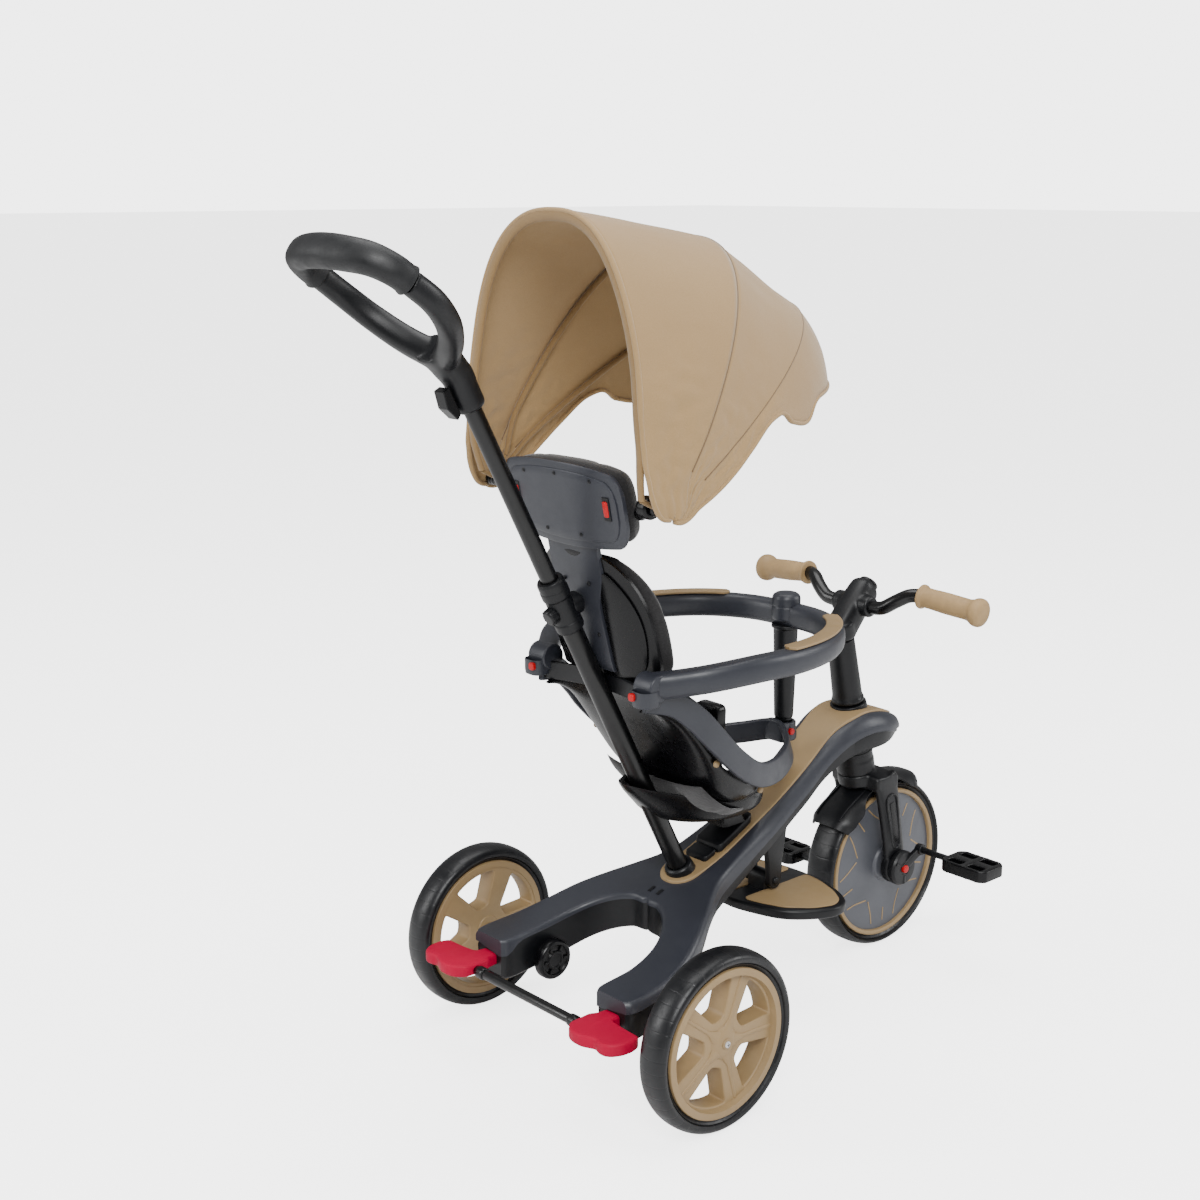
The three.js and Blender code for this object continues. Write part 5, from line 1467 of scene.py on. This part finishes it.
def head_plate(margin, back, front, edge):
    """A bent plate with the outline of the head rest, grown by a margin, between two depths."""
    rings = []
    for k in range(61):
        y = math.sin((k / 30 - 1) * math.pi / 2) * (HEAD_HALF_WIDTH + margin)
        low, high = head_span(y, margin)
        side = edge * (1 if 0 < k < 60 else 0.4)
        ups = steps(low + side, high - side, 10)
        ring = [head_spot(y, h, back) for h in ups]
        ring.append(head_spot(y, high, back + edge * 0.5))
        ring.append(head_spot(y, high, front - edge * 0.5))
        ring += [head_spot(y, h, front) for h in reversed(ups)]
        ring.append(head_spot(y, low, front - edge * 0.5))
        ring.append(head_spot(y, low, back + edge * 0.5))
        rings.append(ring)
    return loft(rings)


def make_headrest():
    shapes = [head_plate(0, 0, 5, 2), head_plate(-9, -1.6, 3, 1.4)]
    for y, up in ((-58, 88), (58, 88), (-30, 20), (30, 20), (0, 92)):
        shapes.append(screw(head_spot(y, up, -1.6), -HEAD_FORWARD, 2.8).painted(1))
    for sign in (1, -1):
        seat = sweep(slab(11, 2.2, 1), [head_spot(sign * 79, up, -1.8) for up in (43, 44, 70, 71)],
                     up=-HEAD_FORWARD)
        shapes.append(seat.painted(1))
    piece("headrest_back", joined(*shapes), "headrest", [SLATE, BLACK], "headrest_shell",
          angle=35)
    for side, sign in SIDES:
        path = [head_spot(sign * 79, up, -2.4) for up in (47.5, 48.6, 57, 65.4, 66.5)]
        key = sweep(oval(8, 5, 20, 3), path, up=-HEAD_FORWARD,
                    size=lambda s: (0.7, 0.7) if s in (0, 1) else (1, 1))
        piece(f"headrest_key_{side}", key, f"{side}_headrest_button", RED, f"headrest_button_{side}")

    def spot(s, t, lift):
        y = t * 100
        low, high = head_span(y, -2)
        return head_spot(y, low + (high - low) * s, 13.4 + lift)

    pad = crowned(spot, (0, 1), (-1, 1), -6, 33, [("b", -0.5), ("b", 0.5)], power=7)
    cushion("headrest_cushion_pad", pad, "headrest", "headrest_cushion")


# ---------------------------------------------------------------- canopy

CANOPY_POWER = 2.5
REAR_ANGLE = profile_of(
    [(0.028, 262), (0.04, 217), (0.055, 190), (0.075, 165), (0.115, 142), (0.17, 127), (0.32, 110),
     (0.6, 100), (1, 95.8)],
)
MID_LEAN = 59
MID_ANGLE = profile_of(
    [(0.028, -80), (0.04, -30), (0.055, 12), (0.075, 38), (0.1, 52), (0.14, 58), (0.2, MID_LEAN),
     (1, MID_LEAN)],
)
FRONT_LEAN = 34
FRONT_ANGLE = profile_of(
    [(0.028, -82), (0.04, -42), (0.055, -8), (0.075, 14), (0.1, 27), (0.14, 33), (0.2, FRONT_LEAN),
     (1, FRONT_LEAN)],
)
HEM_ANGLE = profile_of(
    [(0.028, -85), (0.04, -58), (0.055, -36), (0.075, -14), (0.1, 1), (0.14, 9), (0.2, 16), (0.27, 21.5),
     (0.35, 25.5), (0.46, 28.5), (0.52, 27.5), (0.57, 21.5), (0.65, 18), (0.74, 20.5), (0.85, 19), (1, 17.5)],
)

# Each arch: reach from the hinge, half width, and its angle by the share of the reach.
REAR_ARCH = (327, 156, REAR_ANGLE)
MID_ARCH = (341, 171, MID_ANGLE)
FRONT_ARCH = (381, 168, FRONT_ANGLE)
HEM_ARCH = (388, 172, HEM_ANGLE)
MID_BOW = (*MID_ARCH[:2], lambda fraction: MID_LEAN)
FRONT_BOW = (*FRONT_ARCH[:2], lambda fraction: FRONT_LEAN)
FOOT_WIDTH = 167
ARCH_MARGIN = 0.012
CLOTH_THICKNESS = 1.4


def arch_spot(arch, t, inset=0):
    """A point of an arch: t from 0 at its left foot to pi at its right one, inset toward the hinge."""
    reach, half_width, angle_at = arch
    fraction = math.sin(t) ** (2 / CANOPY_POWER)
    angle = math.radians(angle_at(fraction))
    along = (reach - inset) * fraction
    half_width += min(FOOT_WIDTH - half_width, 7) * (1 - ease(fraction, 0.06, 0.3))
    side = (half_width - inset) * math.copysign(abs(math.cos(t)) ** (2 / CANOPY_POWER), math.cos(t))
    return V(CANOPY_HINGE.x + along * math.cos(angle), side, CANOPY_HINGE.z + along * math.sin(angle))


def arch_turns(count):
    """Places along an arch, closer together toward its feet."""
    span = math.pi - 2 * ARCH_MARGIN
    return [ARCH_MARGIN + span * (u - 0.11 * math.sin(2 * math.pi * u)) for u in steps(0, 1, count)]


def outward_of(spot):
    """The direction away from the hinge line at a point of the cloth."""
    return (spot - V(CANOPY_HINGE.x, spot.y * 0.3, CANOPY_HINGE.z)).normalized()


def canopy_rows(start, stop, mixes, bulge, turns, seed):
    """Rows of cloth between two arches, bulged, creased all over and crumpled near the hinges."""
    def wave(t, mix, offset):
        return noise.noise(Vector((t, mix, seed + offset)))

    rows = []
    for mix in mixes:
        row = []
        for t in turns:
            spot = arch_spot(start, t).lerp(arch_spot(stop, t), mix)
            slack = 4 * mix * (1 - mix)
            height = bulge * math.sin(t) ** 2 * slack
            crease = wave(t * 5.5, mix * 2.2, 0) * 2.0 + wave(t * 16, mix * 1.4, 3) * 1.3
            near = 1 - ease(math.sin(t), 0.2, 0.75)
            height += slack * (crease * 0.7 + near * wave(t * 30, mix * 5, 7) * 3.2) - 0.4
            row.append(spot + outward_of(spot) * height)
        rows.append(row)
    return rows


def unrolled(grid):
    """The cut of a draped grid before it was hung: its widest row, longest column and area in metres."""
    widths = [sum((b - a).length for a, b in zip(row, row[1:])) for row in grid]
    lengths = []
    for j in range(len(grid[0])):
        lengths.append(sum((grid[i + 1][j] - grid[i][j]).length for i in range(len(grid) - 1)))
    area = 0
    for i in range(len(grid) - 1):
        for j in range(len(grid[0]) - 1):
            a, b = grid[i + 1][j + 1] - grid[i][j], grid[i + 1][j] - grid[i][j + 1]
            area += a.cross(b).length / 2
    return max(widths) / 1000, max(lengths) / 1000, area / 1e6


def cloth_uv(thing, grid):
    """Lays the cloth's threads along its rows and columns, in metres."""
    rows, columns = len(grid), len(grid[0])
    spots = []
    down = [0.0] * columns
    for i in range(rows):
        across = 0.0
        for j in range(columns):
            if j:
                across += (grid[i][j] - grid[i][j - 1]).length / 1000
            if i:
                down[j] += (grid[i][j] - grid[i - 1][j]).length / 1000
            spots.append((across, down[j]))
    layer = thing.data.uv_layers.new(name="threads")
    for loop in thing.data.loops:
        layer.data[loop.index].uv = spots[loop.vertex_index % len(spots)]


def thread_uv(thing):
    """Threads for a narrow hem or sleeve, laid over it from its own place in space."""
    layer = thing.data.uv_layers.new(name="threads")
    for loop in thing.data.loops:
        spot = thing.data.vertices[loop.vertex_index].co
        layer.data[loop.index].uv = (spot.x + 0.4 * spot.z, spot.y + 0.7 * spot.z)


def cloth_piece(name, grid, replaces, bodies):
    """A canopy panel; its two bodies are not used."""
    thing = piece(name, shell(grid, CLOTH_THICKNESS), None, CLOTH, angle=180)
    cloth_uv(thing, grid)
    finish_piece(thing, None, replaces)
    bodies[0]
    bodies[1]
    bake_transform(thing)
    width, length, area = unrolled(grid)
    min(area, width * length)


def make_canopy_cloth(turns):
    rear = canopy_rows(REAR_ARCH, MID_ARCH, steps(0, 0.998, 26), 1, turns, 1.3)
    cloth_piece("canopy_cloth_rear", rear, ["canopy_panel_rear"], ("headrest", "canopy_middle"))
    front = canopy_rows(MID_ARCH, FRONT_ARCH, steps(0.003, 1, 18), -2, turns, 4.1)
    visor = canopy_rows(FRONT_ARCH, HEM_ARCH, steps(0, 1, 12)[1:], 11, turns, 8.2)
    cloth_piece("canopy_cloth_front", front + visor, ["canopy_panel_front", "canopy_visor"],
                ("canopy_middle", "canopy_front"))


def make_canopy_tapes(turns):
    """The rolled hems at both edges of the cloth, and the seam tapes over the two ribs between them, in
    darker cloth that is painted shade along the seams.
    """
    hem, seam = oval(7, 5.6, 16), oval(3.0, 2.4, 10)
    for name, arch, body, section, lift, material in (
        ("hem_rear", REAR_ARCH, "headrest", hem, -0.8, CLOTH),
        ("hem_front", HEM_ARCH, "canopy_front", hem, -0.8, CLOTH),
        ("seam_middle", MID_ARCH, "canopy_middle", seam, 0.35, SEAM_SHADE_CLOTH),
        ("seam_front", FRONT_ARCH, "canopy_front", seam, 0.35, SEAM_SHADE_CLOTH),
    ):
        used = turns if section is hem else turns[12:-12]
        row = [arch_spot(arch, t) for t in used]
        line = smooth_path([p + outward_of(p) * lift for p in row], 220)
        tape = sweep(section, line, up=V(0, 0.01, 1))
        thing = piece(f"canopy_{name}", tape, body, material, angle=180)
        thread_uv(thing)


def make_canopy_rib(name, arch, layer, body):
    """A bow in its cloth sleeve, whose darker cloth is painted shade; each foot runs in to its own layer of
    the hinge.
    """
    thick, inset = (14, 6.5) if name == "rear" else (9, 4)
    path = []
    for t in steps(0.05, math.pi - 0.05, 90):
        spot = arch_spot(arch, t, inset)
        height = math.hypot(spot.x - CANOPY_HINGE.x, spot.z - CANOPY_HINGE.z)
        if height < 90:
            y = layer + (abs(spot.y) - layer) * ease(height, 15, 90)
            spot = V(spot.x, math.copysign(y, spot.y), spot.z)
        path.append(spot)
    middle = (path[45] - CANOPY_HINGE).normalized()

    def ends(s):
        size = 0.75 + 0.25 * ease(min(s, 1 - s), 0, 0.06)
        return size, size

    shapes = [sweep(oval(thick, 7.4, 18), path, up=V(-middle.z, 0, middle.x), size=ends).painted(1)]
    for sign, tip in ((1, path[0]), (-1, path[-1])):
        hub = CANOPY_HINGE + ACROSS * sign * (layer - 3)
        shapes.append(rod(9, hub, hub + ACROSS * sign * 6))
        shapes.append(rod(3, CANOPY_HINGE + ACROSS * sign * layer, tip, 14, 0.5).painted(1))
    thing = piece(f"canopy_rib_{name}_bow", joined(*shapes), body, [GLOSS, SLEEVE_SHADE_CLOTH], f"canopy_rib_{name}")
    thread_uv(thing)


def make_canopy_arms():
    path = smooth_path([V(-14, 96, 722), V(-16, 106, 718), V(-20, 114, 722), V(-23, 122, 729)], 18)
    arm = sweep(oval(13, 13, 20), path, up=ALONG)
    hub = turned([(0, 118), (13, 118), (13.6, 121), (13.6, 131), (12, 134), (0, 134)], 1, CANOPY_HINGE,
                 ACROSS, 40)
    cap = turned([(0, 155), (8, 155), (8.4, 157), (7, 159.6), (0, 160.4)], 0.8, CANOPY_HINGE, ACROSS, 32)
    spindle = rod(4, CANOPY_HINGE + ACROSS * 130, CANOPY_HINGE + ACROSS * 158, 20, 0.5)
    left = joined(arm, hub, cap, spindle)
    for side, shape in (("left", left), ("right", left.mirrored())):
        piece(f"canopy_arm_{side}_hinge", shape, "headrest", GLOSS, f"canopy_arm_{side}")


def make_canopy():
    turns = arch_turns(160)
    make_canopy_cloth(turns)
    make_canopy_tapes(turns)
    make_canopy_rib("rear", REAR_ARCH, 140, "headrest")
    make_canopy_rib("mid", MID_BOW, 146.5, "canopy_middle")
    make_canopy_rib("front", FRONT_BOW, 153, "canopy_front")
    make_canopy_arms()


# ---------------------------------------------------------------- push handle

HANDLE_NECK = V(-205, 0, 895)
HANDLE_ALONG = V(-150, 0, 120).normalized()


def push_at(distance):
    """A point of the push tube's axis, from its foot upward."""
    return PUSH_FOOT + PUSH_UP * distance


def handle_spot(along, y, lift=0):
    """A point of the handle's plane: outward from its neck, across, and above it."""
    up = V(HANDLE_ALONG.z, 0, -HANDLE_ALONG.x)
    return HANDLE_NECK + HANDLE_ALONG * along + V(0, y, 0) + up * lift


def make_push_tubes():
    r = PUSH_TUBE_RADIUS
    lower = [(10.9, -30), (r, -30), (r, 468), (12.2, 470), (10.9, 470), (10.9, -30)]
    piece("push_tube_lower_steel", lathe(lower, PUSH_FOOT, PUSH_UP, 64), "base", TUBE, "push_tube_lower")
    upper = rod(SLIDING_TUBE_RADIUS, push_at(270), push_at(751), 56, 0.6)
    piece("push_tube_upper_steel", upper, "push_handle", TUBE, "push_tube_upper")
    ring = [(13.1, 446), (16.4, 446), (16.8, 449), (16.8, 468), (15.4, 471.5), (11, 471.8), (11, 470.4),
            (13.1, 470.2), (13.1, 446)]
    piece("push_tube_collar", turned(ring, 0.8, PUSH_FOOT, PUSH_UP, 56), "base", BLACK)


def make_handle():
    handle_up = V(0.62, 0, 0.78)
    neck = [push_at(732), push_at(750), V(-201, 0, 889), handle_spot(8, 0), handle_spot(26, 0)]

    def neck_size(s):
        return 1 + 0.1 * s, 1 + 0.6 * s

    def branch_size(s):
        return 1.3 - 0.36 * ease(s, 0, 0.7), 1.12 - 0.14 * s

    shapes = [sweep(oval(34, 30, 28, 2.6), smooth_path(neck, 24), up=ACROSS, size=neck_size)]
    for sign in (1, -1):
        branch = [(10, 8, 0), (34, 40, 2), (66, 68, 6), (104, 82, 8), (140, 82, 6)]
        path = smooth_path([handle_spot(along, sign * y, lift) for along, y, lift in branch], 30)
        shapes.append(sweep(oval(23, 28, 28, 2.6), path, up=handle_up, size=branch_size))
    collar = turned([(0, 0), (16, 0), (17.5, 4), (17.5, 48), (0, 48)], 2, push_at(708), PUSH_UP, 48)
    moulded("handle_yoke_moulding", joined(*shapes, collar), "push_handle", "handle_yoke", voxel=2.2,
            rounds=8)
    half = [handle_spot(141.2, 82, 6), handle_spot(160, 79, 5), handle_spot(180, 64, 3), handle_spot(192, 36)]
    reach = smooth_path(both_sides(half + [handle_spot(195, 0)]), 90)

    def swell(t):
        lip = 0.10 * (1 - ease(min(t, 1 - t), 0, 0.03))
        return 1.06 + 0.22 * math.sin(math.pi * t) + lip, 1.04 + 0.18 * math.sin(math.pi * t) + lip

    grip = sweep(oval(25, 30, 28, 2.4), reach, up=handle_up, size=swell)
    piece("handle_grip_foam", grip, "push_handle", FOAM, "handle_grip", bevel=1.4)
    refined("handle_clip", "length_clip", GLOSS, 1.2)


def make_buttons():
    for side, sign in SIDES:
        path = [V(x, sign * 91, 500) for x in (-13, -16.4, -17.2)]
        face = sweep(oval(9.6, 9.6, 24, 3.2), path, up=UP, size=lambda s: (0.84, 0.84) if s == 1 else (1, 1))
        piece(f"ring_release_{side}", face, f"{side}_ring_button", RED, f"ring_button_{side}")
    knob = turned([(0, 17), (4.5, 17), (4.5, 21), (3.6, 21.9), (0, 22)], 0.6, V(344, 0, 366), -ACROSS, 28)
    piece("post_release_knob", knob, "post_release", RED, "post_button")


# ---------------------------------------------------------------- set, light and camera

FLOOR_REACH = 60
FLOOR_GLOW = 3.0
AMBIENT = 0.34
BACKDROP = 4.4

# Each lamp: name, place, the point it faces, its two sides in metres, and its power in watts.
LAMPS = (
    ("key", (-2.2, -2.6, 3.2), (0, 0, 0.45), (1.8, 1.8), 190),
    ("side", (-3.0, 2.0, 1.9), (0, 0, 0.4), (0.9, 2.4), 70),
    ("front_fill", (2.8, -2.4, 2.0), (0.1, 0, 0.4), (1.4, 2.0), 70),
    ("top", (0.2, 0.2, 3.4), (0, 0, 0.4), (2.4, 2.4), 90),
)
CAMERA_PLACE = (-1.5146, -1.54369, 1.08421)
CAMERA_AZIMUTH = math.radians(48.21)
CAMERA_DIP = math.radians(13.28)
CAMERA_LENS = 53.14
CAMERA_SENSOR = 36


def make_set():
    """A wide pale floor that the camera sees glowing, so that it meets the backdrop without an edge."""
    mesh = bpy.data.meshes.new("floor")
    size = FLOOR_REACH
    mesh.from_pydata(
        [(-size, -size, 0), (size, -size, 0), (size, size, 0), (-size, size, 0)], [], [(0, 1, 2, 3)],
    )
    n = Nodes("pale floor", 0.75)
    n.colour(n.blend(n.spread(n.noise(3, 2), 0, 1), (0.88, 0.88, 0.88, 1), (0.91, 0.91, 0.91, 1)))
    n.shader.inputs["Emission Color"].default_value = (1, 1, 1, 1)
    seen = n.add("ShaderNodeLightPath").outputs["Is Camera Ray"]
    n.link(n.maths("MULTIPLY", seen, FLOOR_GLOW), n.shader.inputs["Emission Strength"])
    mesh.materials.append(n.material)
    floor = bpy.data.objects.new("floor", mesh)
    bpy.context.collection.objects.link(floor)


def area_light(name, at, target, size, power):
    data = bpy.data.lights.new(name, "AREA")
    data.shape = "RECTANGLE"
    data.size, data.size_y = size
    data.energy = power
    lamp = bpy.data.objects.new(name, data)
    bpy.context.collection.objects.link(lamp)
    lamp.location = at
    lamp.rotation_euler = (Vector(target) - Vector(at)).to_track_quat("-Z", "Y").to_euler()


def make_light():
    world = bpy.data.worlds.new("studio")
    bpy.context.scene.world = world
    world.use_nodes = True
    tree = world.node_tree
    back = tree.nodes["Background"]
    back.inputs["Color"].default_value = (1, 1, 1, 1)
    rays = tree.nodes.new("ShaderNodeLightPath")
    strength = tree.nodes.new("ShaderNodeMapRange")
    strength.inputs["To Min"].default_value = AMBIENT
    strength.inputs["To Max"].default_value = BACKDROP
    tree.links.new(rays.outputs["Is Camera Ray"], strength.inputs["Value"])
    tree.links.new(strength.outputs["Result"], back.inputs["Strength"])
    for lamp in LAMPS:
        area_light(*lamp)


def make_camera():
    data = bpy.data.cameras.new("camera")
    data.lens = CAMERA_LENS
    data.sensor_width = CAMERA_SENSOR
    camera = bpy.data.objects.new("camera", data)
    bpy.context.collection.objects.link(camera)
    camera.location = CAMERA_PLACE
    level = math.cos(CAMERA_DIP)
    look = Vector((math.cos(CAMERA_AZIMUTH) * level, math.sin(CAMERA_AZIMUTH) * level, -math.sin(CAMERA_DIP)))
    camera.rotation_euler = look.to_track_quat("-Z", "Y").to_euler()
    bpy.context.scene.camera = camera


for make in (
    make_rear_wheels, make_front_wheel, make_fork, make_fender, make_column, make_stem, make_handlebar,
    make_crank, make_pedals, make_frame, make_inlay, make_brake, make_footrest, make_seat, make_seat_base,
    make_seat_cushion, make_back, make_back_bracket, make_buckle, make_guard, make_headrest, make_canopy,
    make_push_tubes, make_handle, make_buttons, make_set, make_light, make_camera,
):
    make()
